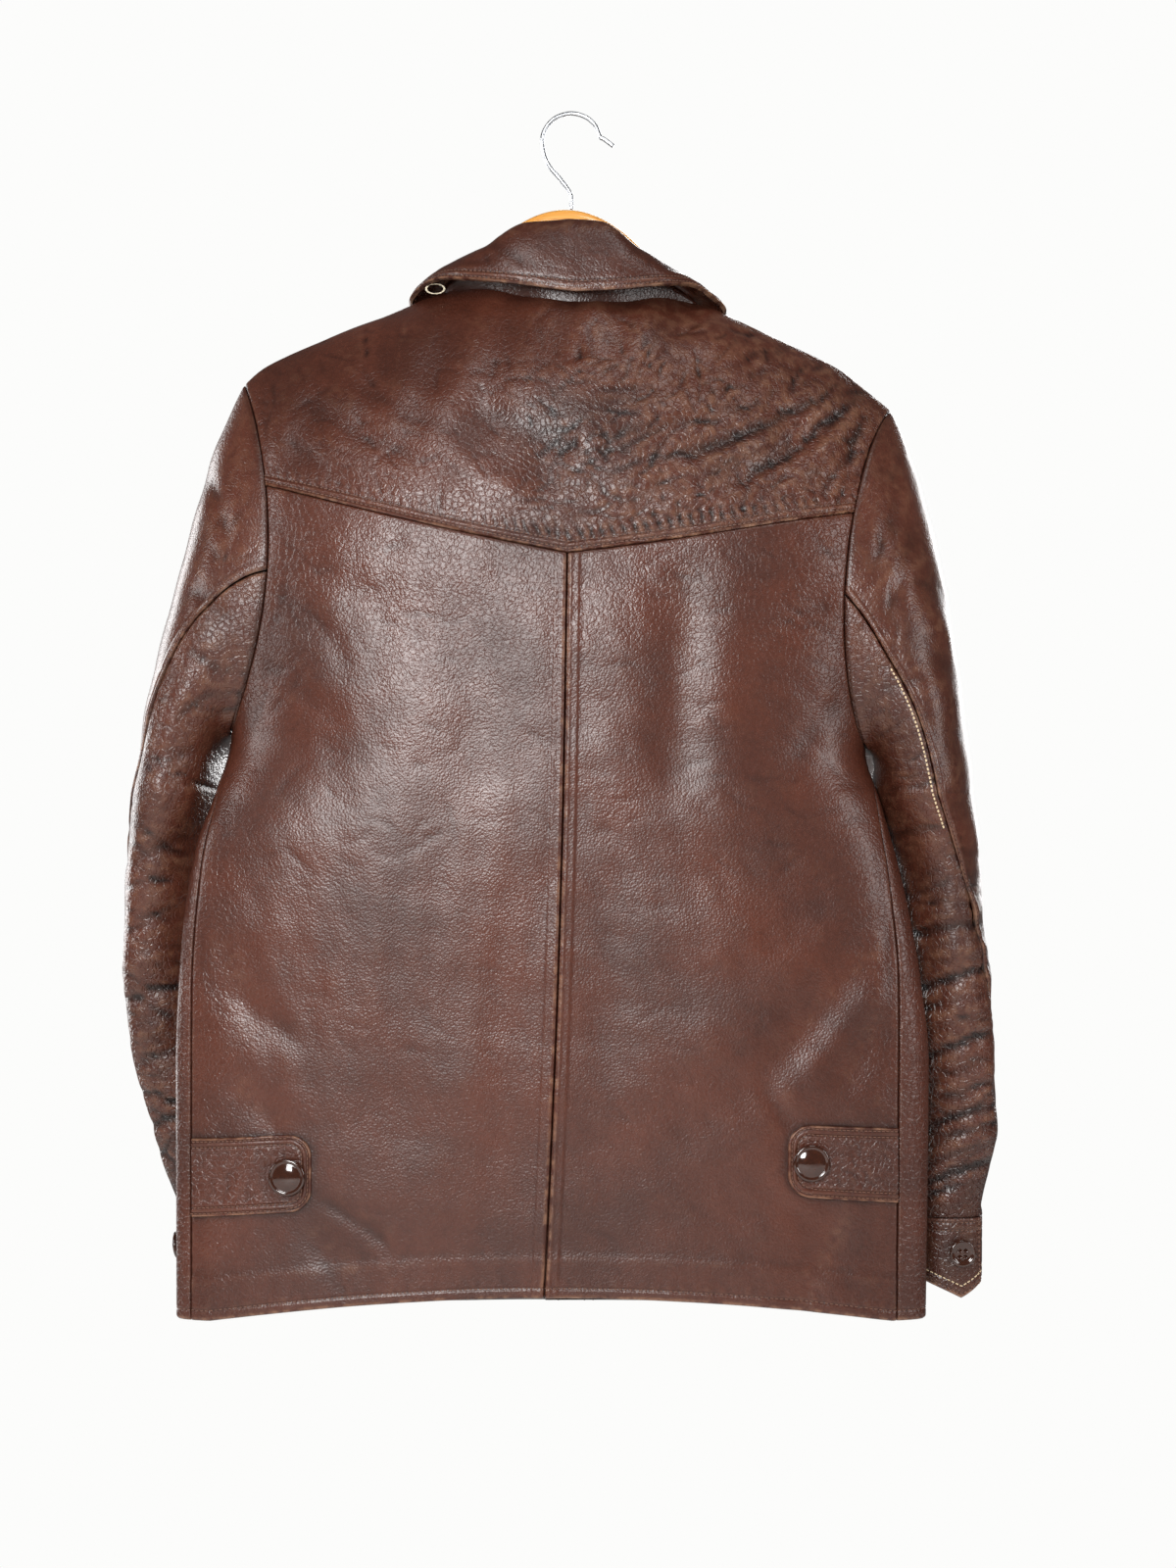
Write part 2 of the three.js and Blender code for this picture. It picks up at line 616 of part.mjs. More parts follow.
// A closed body swept through rings of points.
function loft(rings) {
  const count = rings[0].length;
  const middle = (ring) => ring.reduce((sum, p) => sum.add(p), new THREE.Vector3()).divideScalar(count);
  const corners = [...rings.flat(), middle(rings[0]), middle(rings[rings.length - 1])];
  const faces = [];
  rings.slice(1).forEach((_, i) => {
    for (let j = 0; j < count; j += 1) {
      const [a, b] = [i * count + j, i * count + ((j + 1) % count)];
      faces.push(a, b, b + count, a, b + count, a + count);
    }
  });
  const end = (rings.length - 1) * count;
  for (let j = 0; j < count; j += 1) {
    const next = (j + 1) % count;
    faces.push(rings.length * count, next, j);
    faces.push(rings.length * count + 1, end + j, end + next);
  }
  return closedGeometry(corners, faces);
}

// Buttons: a disc with a raised rim and a domed middle on a short shank, its back at height 0.
function buttonGeometry(diameter) {
  const r = diameter / 2;
  const profile = [
    [0, 0], [0.32, 0], [0.32, 1.2], [0.8, 1.5], [1, 3],
    [0.97, 4.1], [0.84, 4.5], [0.74, 4], [0.45, 5], [0, 5.4],
  ];
  const outline = profile.map(([share, height]) => new THREE.Vector2(share * r, height));
  return new THREE.LatheGeometry(outline, 16).rotateX(Math.PI / 2);
}

function addButton(name, diameter, spot, lift) {
  const facing = new THREE.Quaternion().setFromUnitVectors(up, spot.normal);
  const place = spot.point.clone().addScaledVector(spot.normal, lift);
  const geometry = buttonGeometry(diameter).applyQuaternion(facing).translate(place.x, place.y, place.z);
  addPiece(name, geometry, darkHorn);
}

// Waist tabs: sewn into the side seams, with rounded free corners and a button each.
const tabCorner = 15;
const tabButton = 25;
const tabLift = 0.6;
const tabs = {
  left: {
    seamX: -254.6,
    freeX: -173.9,
    seamDrops: [702.5, 755.8],
    freeDrops: [698.6, 750.5],
    button: [-189.7, 727],
  },
  right: {
    seamX: 219.6,
    freeX: 145.7,
    seamDrops: [695.3, 745.9],
    freeDrops: [692, 740.6],
    button: [160.8, 717.5],
  },
};
const backSpot = (x, drop) => trunkSpot(backAngle(x, drop), drop);

function tabGrid(tab) {
  const length = Math.abs(tab.freeX - tab.seamX);
  const cornerStart = 1 - tabCorner / length;
  const onCorner = (turn) => 1 - (tabCorner / length) * (1 - Math.sin(radians(turn)));
  const places = [0, 0.2, 0.4, 0.6, cornerStart, ...[30, 55, 75, 90].map(onCorner)];
  return evenly(5).map((v) =>
    places.map((u) => {
      const past = (Math.max(0, u - cornerStart) * length) / tabCorner;
      const rounding = tabCorner * (1 - Math.sqrt(Math.max(0, 1 - past * past)));
      const drops = [0, 1].map((i) => mix(tab.seamDrops[i], tab.freeDrops[i], u) + (1 - 2 * i) * rounding);
      return backSpot(mix(tab.seamX, tab.freeX, u), mix(drops[0], drops[1], v));
    }),
  );
}

for (const [name, tab] of Object.entries(tabs)) {
  addPiece(`tab_${name}`, wallOf(tabGrid(tab), tabLeather, tabLift), brownLeather);
  addButton(`tab_button_${name}`, tabButton, backSpot(...tab.button), tabLift + tabLeather + restGap);
}

// Cuffs: a band round the sleeve's end whose buttoned end laps over the other. Below the button
// the band's lower edge comes down to a point.
const cuffPoint = 12;
const cuffPointHalf = radians(36);
const cuffButton = 19;
const cuffLap = radians(48);
const cuffs = {
  left: { endTurn: radians(52), buttonTurn: radians(79) },
  right: { endTurn: radians(88), buttonTurn: radians(118) },
};

function cuffSpot(sleeve, turn, drop) {
  const surface = (a, b) => sleeveRing(sleeve, a, b);
  const normal = normalOf(surface, turn, drop, 2e-3, 0.1).multiplyScalar(sleeve.arm.side);
  return { point: sleeveRing(sleeve, turn, drop), normal };
}

function addCuff(name) {
  const sleeve = sleeves[name];
  const { endTurn, buttonTurn } = cuffs[name];
  const wrapped = 2 * Math.PI + cuffLap;
  const lapOver = (leather + restGap) / leather;
  const grid = evenly(3).map((v) =>
    evenly(26).map((u) => {
      const turn = endTurn + u * wrapped;
      const fromButton = Math.abs(Math.atan2(Math.sin(turn - buttonTurn), Math.cos(turn - buttonTurn)));
      const point = cuffPoint * Math.max(0, 1 - fromButton / cuffPointHalf);
      const spot = cuffSpot(sleeve, turn, mix(sleeveEndDrop + seamGap, cuffEndDrop - 4 + point, v));
      const over = 1 - share(u * wrapped, 1.05 * cuffLap, 1.9 * cuffLap);
      spot.point.addScaledVector(spot.normal, leather * lapOver * over);
      return spot;
    }),
  );
  addPiece(`cuff_${name}`, trunkWall(grid), brownLeather);
  const spot = cuffSpot(sleeve, buttonTurn, (sleeveEndDrop + cuffEndDrop) / 2);
  addButton(`cuff_button_${name}`, cuffButton, spot, leather * lapOver + restGap);
}

addCuff("left");
addCuff("right");

// Front buttons: in a row down the middle of the lap.
const frontButton = 25;
const frontButtonDrops = [262, 410, 558, 706];

frontButtonDrops.forEach((drop, i) => {
  const spot = trunkSpot(frontAngle(0, drop, -1), drop);
  addButton(`front_button_${i + 1}`, frontButton, spot, lapLift + restGap);
});

// Collar: a stand that rises from the neckline to the fold, and a fall turned down from there.
// The stations give, for each turn round the neck, the fold's and the fall edge's x, y and drop.
const collarFrontColumns = 7;
const collarFold = {
  left: [
    [0, -2, -36, 82.5], [22, -30, -34, 85], [42, -55, -25, 100], [64, -76, -12, 113],
    [90, -86, 4, 121], [120, -78, 24, 133], [150, -46, 42, 165], [175, -7, 48, 184],
  ],
  right: [
    [0, -2, -36, 82.5], [18, 20, -35, 84], [38, 41, -27, 100], [62, 64, -12, 117],
    [90, 81, 4, 129], [120, 76, 24, 140], [150, 46, 42, 169], [175, 7, 48, 187],
  ],
};
const collarEdge = {
  left: [
    [0, 2, -52, 130.4], [22, -38, -50, 125], [42, -73, -41, 120.6], [56, -91, -28, 118],
    [72, -105, -12, 121.5], [90, -113, 3, 130], [120, -106, 29, 160], [150, -76, 48, 205],
    [175, -44, 57, 236],
  ],
  right: [
    [0, 2, -52, 130.4], [18, 34, -51, 128.8], [38, 66, -45, 124.6], [52, 84, -30, 122.4],
    [70, 98, -13, 127.5], [90, 108, 3, 136], [120, 103, 29, 168], [150, 76, 48, 209], [175, 44, 55, 238],
  ],
};
const collarCurves = (stations) =>
  [1, 2, 3].map((i) => curveThrough(stations.map((row) => [row[0], row[i]])));
const onCollar = { fold: {}, edge: {} };
for (const name of ["left", "right"]) {
  onCollar.fold[name] = collarCurves(collarFold[name]);
  onCollar.edge[name] = collarCurves(collarEdge[name]);
}

function collarPoint(line, degrees) {
  const [x, y, drop] = onCollar[line][degrees < 0 ? "left" : "right"];
  const turn = Math.abs(degrees);
  return new THREE.Vector3(x(turn), y(turn), -drop(turn));
}

// The level direction away from the neck at a turn.
function awayFromNeck(degrees) {
  const along = collarPoint("fold", degrees + 3).sub(collarPoint("fold", degrees - 3));
  return along.cross(up).setZ(0).normalize();
}

function neckSpot(degrees) {
  const { x, drop, front } = neckPlace(radians(degrees));
  const angle = front ? frontAngle(x, drop, Math.sign(degrees)) : backAngle(x, drop);
  const { point, normal } = trunkSpot(angle, drop);
  const overLap = front ? Math.max(degrees < 0 ? lapAt(x) : 0, lapLift * share(-x, -34, -20)) : 0;
  return point.addScaledVector(normal, overLap);
}

// The stand's face towards the neck: way 0 at the neckline and 1 just under the fold.
function standAt(degrees, way) {
  const foot = neckSpot(degrees).addScaledVector(up, seamGap);
  const bulge = awayFromNeck(degrees).multiplyScalar(3 * way * (1 - way));
  return foot.lerp(collarPoint("fold", degrees), way).add(bulge);
}

// The fall's upper face: from the fold over a narrow roll and down to the edge.
function fallAt(degrees, way) {
  const clear = seamGap * (2 + 6 * share(Math.abs(degrees), 95, 135));
  const start = collarPoint("fold", degrees).addScaledVector(up, clear);
  const edge = collarPoint("edge", degrees);
  const away = awayFromNeck(degrees);
  const roll = start.clone().addScaledVector(up, 9).addScaledVector(away, 1);
  const slope = start.clone().lerp(edge, 0.25).addScaledVector(away, 11).addScaledVector(up, 9);
  const t = way;
  return start
    .multiplyScalar((1 - t) ** 3)
    .addScaledVector(roll, 3 * t * (1 - t) ** 2)
    .addScaledVector(slope, 3 * t * t * (1 - t))
    .addScaledVector(edge, t ** 3);
}

function collarGrid(surface, ways) {
  const frontTurns = frontNeckTurns.slice(1, collarFrontColumns + 1);
  const turns = [...frontTurns.map((turn) => -turn).reverse(), ...yokeNeckTurns, ...frontTurns];
  const columns = turns.map((turn) => THREE.MathUtils.radToDeg(turn));
  return ways.map((way) =>
    columns.map((degrees) => {
      const atFold = way === (surface === fallAt ? 0 : 1);
      const normal = atFold
        ? awayFromNeck(degrees)
        : normalOf(surface, degrees, THREE.MathUtils.clamp(way, 0.01, 0.99), 0.5, 0.01);
      return { point: surface(degrees, way), normal: normal.negate() };
    }),
  );
}

const collarWall = (grid) => wallOf(grid, collarLeather, -collarLeather);
const fallWays = [0, 0.12, 0.25, 0.4, 0.6, 0.8, 1];
addPiece("collar_stand", collarWall(collarGrid(standAt, evenly(3))), brownLeather);
addPiece("collar_fall", collarWall(collarGrid(fallAt, fallWays)), brownLeather);

// A small cord loop under the collar's left end.
const cordRadius = 0.7;
const loopRadius = 5.4;
const loopGeometry = new THREE.TorusGeometry(loopRadius, cordRadius, 6, 22)
  .rotateX(Math.PI / 2)
  .scale(1.15, 1, 0.62)
  .translate(-93.6, -15.1, -122.8);
addPiece("collar_loop", loopGeometry, paleThread);

// Hanger: a flat shaped wooden bow that fills the shoulders.
const hangerHalfThick = 6;
const hangerY = -2;
const hangerEnds = [-196, 194];
const hangerTopMiddle = { x: -4, drop: 66, flatness: 102 };
const hangerDepth = curveThrough([[-196, 20], [-80, 30], [0, 34], [80, 30], [194, 20]]);
const hangerUnderShoulder = 5.45;

function hangerTop(x) {
  const crown = hangerTopMiddle.drop + (x - hangerTopMiddle.x) ** 2 / hangerTopMiddle.flatness;
  const rest = shoulderDrop(x) + hangerUnderShoulder + 4 * share(Math.abs(x), 120, 190);
  return mix(crown, rest, share(Math.abs(x), 54, 82));
}

function hangerRing(t) {
  const x = mix(hangerEnds[0], hangerEnds[1], t);
  const endRounding = Math.sqrt(Math.min(1, Math.min(t, 1 - t) / 0.012 + 0.15));
  const deep = (hangerDepth(x) / 2) * endRounding;
  const middleDrop = hangerTop(x) + hangerDepth(x) / 2;
  return evenly(12).slice(1).map((turn) => {
    const angle = 2 * Math.PI * turn;
    const round = (value) => Math.sign(value) * Math.abs(value) ** 0.7;
    const y = hangerY + hangerHalfThick * endRounding * round(Math.cos(angle));
    return new THREE.Vector3(x, y, -middleDrop + deep * round(Math.sin(angle)));
  });
}

const hangerPlaces = [0, 0.004, 0.012, ...evenly(26).slice(1, -1), 0.988, 0.996, 1];
addPiece("hanger_body", loft(hangerPlaces.map(hangerRing)), varnishedWood);

// Hook: round wire, from the wood up round the crown to its flared tip.
const wireRadius = 1.5;
const hookRadius = 20.4;
const hookCentreZ = wireRadius - hookRadius;
const hookBow = [200, 170, 145, 120, 90, 60, 35, 12].map((turn) => {
  const angle = radians(turn);
  return new THREE.Vector3(hookRadius * Math.cos(angle), 0, hookCentreZ + hookRadius * Math.sin(angle));
});
const hookLine = new THREE.CatmullRomCurve3([
  new THREE.Vector3(0, 0, -65.4),
  new THREE.Vector3(-0.4, 0, -55),
  new THREE.Vector3(-7, 0, -45),
  new THREE.Vector3(-15, 0, -35.5),
  ...hookBow,
  new THREE.Vector3(22.8, 0, -16.5),
  new THREE.Vector3(29.5, 0, -21.5),
]);

function wireRing(t) {
  const centre = hookLine.getPointAt(t);
  const across = hookLine.getTangentAt(t).cross(new THREE.Vector3(0, 1, 0)).normalize();
  return evenly(8).slice(1).map((turn) => {
    const angle = 2 * Math.PI * turn;
    const ring = centre.clone().addScaledVector(across, wireRadius * Math.cos(angle));
    return ring.add(new THREE.Vector3(0, wireRadius * Math.sin(angle), 0));
  });
}

addPiece("hanger_hook", loft(evenly(36).map(wireRing)), platedSteel);

export default coat;
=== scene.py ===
import math

import bpy
import numpy as np
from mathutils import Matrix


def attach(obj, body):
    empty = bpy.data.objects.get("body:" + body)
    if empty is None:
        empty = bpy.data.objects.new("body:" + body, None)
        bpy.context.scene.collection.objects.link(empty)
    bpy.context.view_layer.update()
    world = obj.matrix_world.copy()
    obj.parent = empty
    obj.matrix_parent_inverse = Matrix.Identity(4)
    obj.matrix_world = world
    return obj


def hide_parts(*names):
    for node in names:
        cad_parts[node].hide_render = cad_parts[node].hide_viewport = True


# A worn brown leather coat on a wooden hanger, seen from behind.
# Lengths are millimetres until a mesh is made. X runs to the viewer's right, Y from the coat's
# back to its front, and heights are drops below the crown of the hook.
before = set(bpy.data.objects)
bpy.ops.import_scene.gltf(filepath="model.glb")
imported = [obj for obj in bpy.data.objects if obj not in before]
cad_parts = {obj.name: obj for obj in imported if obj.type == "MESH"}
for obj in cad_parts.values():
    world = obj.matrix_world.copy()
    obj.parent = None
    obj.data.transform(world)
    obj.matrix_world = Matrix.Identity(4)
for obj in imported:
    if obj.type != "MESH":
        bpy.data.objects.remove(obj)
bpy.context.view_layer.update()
print("frame loaded:", len(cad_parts), "nodes")


def mix(a, b, t):
    return a + (b - a) * t


def share(value, low, high):  # smooth step: 0 at low, 1 at high
    t = np.clip((value - low) / (high - low), 0, 1)
    return t * t * (3 - 2 * t)


def hump(value, centre, width):  # bell of height 1
    return np.exp(-(((value - centre) / width) ** 2))


def stack(x, y, z):
    return np.stack(np.broadcast_arrays(x, y, z), axis=-1).astype(float)


def unit(vectors):
    return vectors / np.maximum(np.linalg.norm(vectors, axis=-1, keepdims=True), 1e-9)


# Curve through (position, value) stations: cubic pieces whose slopes are the harmonic means of
# the rises on both sides, so that it never overshoots a station.
def curveThrough(stations):
    at, value = np.array(stations, float).T
    rise = np.diff(value) / np.diff(at)
    before, after = rise[:-1], rise[1:]
    alike = before * after > 0
    inner = np.where(alike, 2 * before * after / np.where(alike, before + after, 1), 0)
    slope = np.concatenate([rise[:1], inner, rise[-1:]])

    def curve(position):
        p = np.clip(position, at[0], at[-1])
        i = np.clip(np.searchsorted(at, p) - 1, 0, len(at) - 2)
        length = at[i + 1] - at[i]
        t = (p - at[i]) / length
        start = (2 * t**3 - 3 * t**2 + 1) * value[i] + (t**3 - 2 * t**2 + t) * length * slope[i]
        return start + (3 * t**2 - 2 * t**3) * value[i + 1] + (t**3 - t**2) * length * slope[i + 1]

    return curve


# Arc length along one axis of a grid of points, from its first row or column.
def arcs(points, axis):
    step = np.linalg.norm(np.diff(points, axis=axis), axis=-1)
    return np.concatenate([np.zeros_like(step.take([0], axis)), np.cumsum(step, axis)], axis)


# Places from 0 to 1 along a length: even steps in the middle and fine ones near both ends.
def places(length, step, reach=(4.5, 4.5), fine=0.7):
    first, last = np.arange(0, reach[0], fine), np.arange(0, reach[1], fine)
    count = int((length - sum(reach)) / step)
    middle = np.linspace(reach[0], length - reach[1], count + 1)
    return np.concatenate([first, middle, length - last[::-1]]) / length


# Creases: troughs along (x, drop) lines, depth times a bell across the line, which fades out
# over the last quarter at each end. The bow bends the line sideways. Minus depths are ridges.
def creaseField(x, drop, creases):
    total = np.zeros(np.broadcast(x, drop).shape)
    for x0, d0, x1, d1, width, depth, bow in creases:
        length = math.hypot(x1 - x0, d1 - d0)
        cx, cd = (x1 - x0) / length, (d1 - d0) / length
        along = (x - x0) * cx + (drop - d0) * cd
        across = (x - x0) * cd - (drop - d0) * cx
        across = across - bow * np.clip(1 - (2 * along / length - 1) ** 2, 0, 1)
        past = np.maximum(0, np.abs(along - length / 2) - length / 4)
        total += depth * np.exp(-((across / width) ** 2) - (past / (length / 4)) ** 2)
    return total


# Seeded small creases over a box of (x, drop), most of them near one direction in degrees.
def scatteredCreases(seed, count, box, degrees, spread, lengths, widths, depths):
    rng = np.random.default_rng(seed)
    x, drop = rng.uniform(box[0], box[2], count), rng.uniform(box[1], box[3], count)
    angle = np.radians(rng.normal(degrees, spread, count))
    half = rng.uniform(*lengths, count) / 2
    dx, dd = half * np.cos(angle), half * np.sin(angle)
    bow = rng.normal(0, 0.16, count) * half
    width, depth = rng.uniform(*widths, count), rng.uniform(*depths, count)
    return np.stack([x - dx, drop - dd, x + dx, drop + dd, width, depth, bow], axis=-1)


# Slow waves: a sum of sines in seeded directions, about 1 high, with wavelengths near one size.
def slowWaves(seed, x, drop, wavelength, count=7):
    rng = np.random.default_rng(seed)
    total = np.zeros(np.broadcast(x, drop).shape)
    for turn, size, phase in zip(*(rng.uniform(0, 1, (3, count)))):
        pace = 2 * math.pi / (wavelength * (0.7 + 0.8 * size))
        way = x * math.cos(math.pi * turn) + drop * math.sin(math.pi * turn)
        total += np.sin(pace * way + 2 * math.pi * phase)
    return total / math.sqrt(count)


# An edge that rolls in: a quarter round of that depth over the last few millimetres.
def edgeRoll(distance, depth, reach):
    t = np.clip(1 - distance / reach, 0, 1)
    return -depth * (1 - np.sqrt(1 - t * t))


# A stitched groove at a distance from an edge.
def stitchGroove(distance, at, depth=0.45, width=0.85):
    return -depth * hump(distance, at, width)


# Colours and materials

def linearColour(hexCode):
    srgb = [int(hexCode[i:i + 2], 16) / 255 for i in (1, 3, 5)]
    return [c / 12.92 if c <= 0.04045 else ((c + 0.055) / 1.055) ** 2.4 for c in srgb] + [1.0]


def addNode(tree, kind, **settings):  # lower case sets a property, inN an input by number
    node = tree.nodes.new("ShaderNode" + kind)
    for key, value in settings.items():
        if key[:2] == "in" and key[2:].isdigit():
            socket = node.inputs[int(key[2:])]
        elif key[0].islower():
            setattr(node, key, value)
            continue
        else:
            socket = node.inputs[key.replace("_", " ")]
        if isinstance(value, bpy.types.NodeSocket):
            tree.links.new(value, socket)
        else:
            socket.default_value = value
    return node


def newMaterial(name):
    material = bpy.data.materials.new(name)
    material.use_nodes = True
    tree = material.node_tree
    return material, tree, tree.nodes["Principled BSDF"]


def perMillimetre(size):  # texture scale for a pattern of that many millimetres
    return 1000 / size


# Chrome-tanned cowhide, aniline dyed and glazed: a deep reddish brown with cloudy dye, a fine pebbled grain that
# glitters where the light grazes it, and tan where edges have rubbed. A near-black painted shade darkens it in
# hollows, along seams and edges, under laps and on the lower sleeves, as a per-vertex attribute sets.
leatherLook = {
    "deep": "#361910",
    "warm": "#4b271c",
    "rubbed": "#8f6a52",
    "paintedShade": "#0d0504",
    "hollowShade": 1.0,
    "ridgeWear": 0.3,
    "grain": 1.5,
    "crackle": 4.2,
    "cloud": 80,
    "roughness": (0.26, 0.36),
}


def leatherMaterial():
    material, tree, skin = newMaterial("cowhide_aniline_dyed_glazed")
    place = addNode(tree, "TexCoord").outputs["Object"]
    crinkle = addNode(tree, "Attribute", attribute_name="crinkle").outputs["Fac"]
    wear = addNode(tree, "Attribute", attribute_name="wear").outputs["Fac"]
    paintedShade = addNode(tree, "Attribute", attribute_name="paintedShade").outputs["Fac"]
    cloud = addNode(tree, "TexNoise", Vector=place, Detail=4.0, Roughness=0.6,
                    Scale=perMillimetre(leatherLook["cloud"])).outputs["Fac"]
    speck = addNode(tree, "TexNoise", Vector=place, Detail=2.0,
                    Scale=perMillimetre(2.6)).outputs["Fac"]
    grain = addNode(tree, "TexVoronoi", feature="SMOOTH_F1", Vector=place, Smoothness=0.35,
                    Scale=perMillimetre(leatherLook["grain"])).outputs["Distance"]
    warp = addNode(tree, "TexNoise", Vector=place, Detail=3.0, Scale=perMillimetre(9))
    shifted = addNode(tree, "VectorMath", operation="MULTIPLY_ADD", in0=warp.outputs["Color"],
                      in1=(0.005, 0.005, 0.005), in2=place).outputs["Vector"]
    cracks = addNode(tree, "TexVoronoi", feature="DISTANCE_TO_EDGE", Vector=shifted,
                     Scale=perMillimetre(leatherLook["crackle"])).outputs["Distance"]
    crackLine = addNode(tree, "MapRange", Value=cracks, From_Min=0.0, From_Max=0.16,
                        To_Min=0.0, To_Max=1.0, interpolation_type="SMOOTHSTEP").outputs["Result"]
    # Colour: cloudy dye with fine mottling, tan where rubbed, and near black where painted shade is set
    tone = addNode(tree, "MapRange", Value=cloud, From_Min=0.32, From_Max=0.68).outputs["Result"]
    mottled = addNode(tree, "Math", operation="MULTIPLY_ADD", in0=speck, in1=0.9, in2=-0.45)
    toned = addNode(tree, "Math", operation="ADD", use_clamp=True, in0=tone,
                    in1=mottled.outputs["Value"]).outputs["Value"]
    dyed = addNode(tree, "Mix", data_type="RGBA", in0=toned, in6=linearColour(leatherLook["deep"]),
                   in7=linearColour(leatherLook["warm"])).outputs[2]
    rubs = addNode(tree, "TexNoise", Vector=place, Detail=4.0, Scale=perMillimetre(7)).outputs["Fac"]
    patchy = addNode(tree, "MapRange", Value=rubs, From_Min=0.42, From_Max=0.62).outputs["Result"]
    rubbed = addNode(tree, "Math", operation="MULTIPLY", use_clamp=True, in0=wear, in1=patchy)
    worn = addNode(tree, "Mix", data_type="RGBA", in0=rubbed.outputs["Value"], in6=dyed,
                   in7=linearColour(leatherLook["rubbed"])).outputs[2]
    # Painted shade: the colour goes towards near black where the shade attribute is high
    shaded = addNode(tree, "Mix", data_type="RGBA", in0=paintedShade, in6=worn,
                    in7=linearColour(leatherLook["paintedShade"])).outputs[2]
    tree.links.new(shaded, skin.inputs["Base Color"])
    low, high = leatherLook["roughness"]
    gloss = addNode(tree, "MapRange", Value=cloud, From_Min=0.3, From_Max=0.7, To_Min=high,
                    To_Max=low).outputs["Result"]
    tree.links.new(gloss, skin.inputs["Roughness"])
    skin.inputs["IOR"].default_value = 1.4
    # Relief: crackle where the leather has been creased, then the fine grain on top
    crackled = addNode(tree, "Bump", Strength=crinkle, Distance=0.0006, Height=crackLine)
    pebbled = addNode(tree, "Bump", Strength=0.55, Distance=0.00024, Height=grain,
                      Normal=crackled.outputs["Normal"], invert=True)
    tree.links.new(pebbled.outputs["Normal"], skin.inputs["Normal"])
    return material


# Polyester sewing thread, twisted: matt, a shade lighter than the leather or tan.
def threadMaterial(name, colour):
    material, tree, skin = newMaterial(name)
    place = addNode(tree, "TexCoord").outputs["Object"]
    fibre = addNode(tree, "TexNoise", Vector=place, Detail=2.0, Scale=perMillimetre(0.8)).outputs["Fac"]
    dark, light = [linearColour(c) for c in colour]
    dyed = addNode(tree, "Mix", data_type="RGBA", in0=fibre, in6=dark, in7=light).outputs[2]
    tree.links.new(dyed, skin.inputs["Base Color"])
    skin.inputs["Roughness"].default_value = 0.6
    return material


# Casein, moulded and polished: near-black brown with faint streaks and a sharp highlight.
def buttonMaterial():
    material, tree, skin = newMaterial("casein_moulded_polished")
    place = addNode(tree, "TexCoord").outputs["Object"]
    streak = addNode(tree, "TexNoise", Vector=place, Detail=3.0, Distortion=1.5,
                     Scale=perMillimetre(6)).outputs["Fac"]
    tint = addNode(tree, "Mix", data_type="RGBA", in0=streak, in6=linearColour("#1c0c07"),
                   in7=linearColour("#3a1c10")).outputs[2]
    tree.links.new(tint, skin.inputs["Base Color"])
    scuff = addNode(tree, "TexNoise", Vector=place, Detail=4.0, Scale=perMillimetre(1.5)).outputs["Fac"]
    gloss = addNode(tree, "MapRange", Value=scuff, To_Min=0.05, To_Max=0.14).outputs["Result"]
    tree.links.new(gloss, skin.inputs["Roughness"])
    skin.inputs["IOR"].default_value = 1.53
    return material


# Beech, turned and lacquered: honey colour, fine dark pores along the grain, satin gloss.
def woodMaterial():
    material, tree, skin = newMaterial("beech_shaped_lacquered")
    place = addNode(tree, "TexCoord").outputs["Object"]
    along = addNode(tree, "Mapping", Vector=place, Scale=(0.05, 1.0, 1.0)).outputs["Vector"]
    rings = addNode(tree, "TexNoise", Vector=along, Detail=4.0, Scale=perMillimetre(4)).outputs["Fac"]
    pores = addNode(tree, "TexNoise", Vector=along, Detail=2.0, Scale=perMillimetre(0.9)).outputs["Fac"]
    pale = addNode(tree, "Mix", data_type="RGBA", in0=rings, in6=linearColour("#b9752a"),
                   in7=linearColour("#e6ac58")).outputs[2]
    poreShare = addNode(tree, "MapRange", Value=pores, From_Min=0.6, From_Max=0.75).outputs["Result"]
    grained = addNode(tree, "Mix", data_type="RGBA", in0=poreShare, in6=pale,
                      in7=linearColour("#8a4f1a")).outputs[2]
    tree.links.new(grained, skin.inputs["Base Color"])
    skin.inputs["Roughness"].default_value = 0.3
    skin.inputs["Coat Weight"].default_value = 0.5
    skin.inputs["Coat Roughness"].default_value = 0.12
    relief = addNode(tree, "Bump", Strength=0.3, Distance=0.0001, Height=pores)
    tree.links.new(relief.outputs["Normal"], skin.inputs["Normal"])
    return material


# Steel wire, drawn and nickel plated: bright with dull spots.
def wireMaterial():
    material, tree, skin = newMaterial("steel_wire_nickel_plated")
    place = addNode(tree, "TexCoord").outputs["Object"]
    spots = addNode(tree, "TexNoise", Vector=place, Detail=4.0, Scale=perMillimetre(3)).outputs["Fac"]
    tint = addNode(tree, "Mix", data_type="RGBA", in0=spots, in6=linearColour("#8f9297"),
                   in7=linearColour("#d5d7da")).outputs[2]
    tree.links.new(tint, skin.inputs["Base Color"])
    gloss = addNode(tree, "MapRange", Value=spots, To_Min=0.34, To_Max=0.18).outputs["Result"]
    tree.links.new(gloss, skin.inputs["Roughness"])
    skin.inputs["Metallic"].default_value = 1.0
    return material


leatherSkin = leatherMaterial()
brownThread = threadMaterial("polyester_thread_brown", ("#3a2018", "#6e4b3a"))
tanThread = threadMaterial("polyester_thread_tan", ("#9c8262", "#dcc8a6"))
creamThread = threadMaterial("cotton_cord_cream", ("#a99a80", "#e2d8c2"))
polishedButton = buttonMaterial()
lacqueredWood = woodMaterial()
platedWire = wireMaterial()
print("materials made:", len(bpy.data.materials))


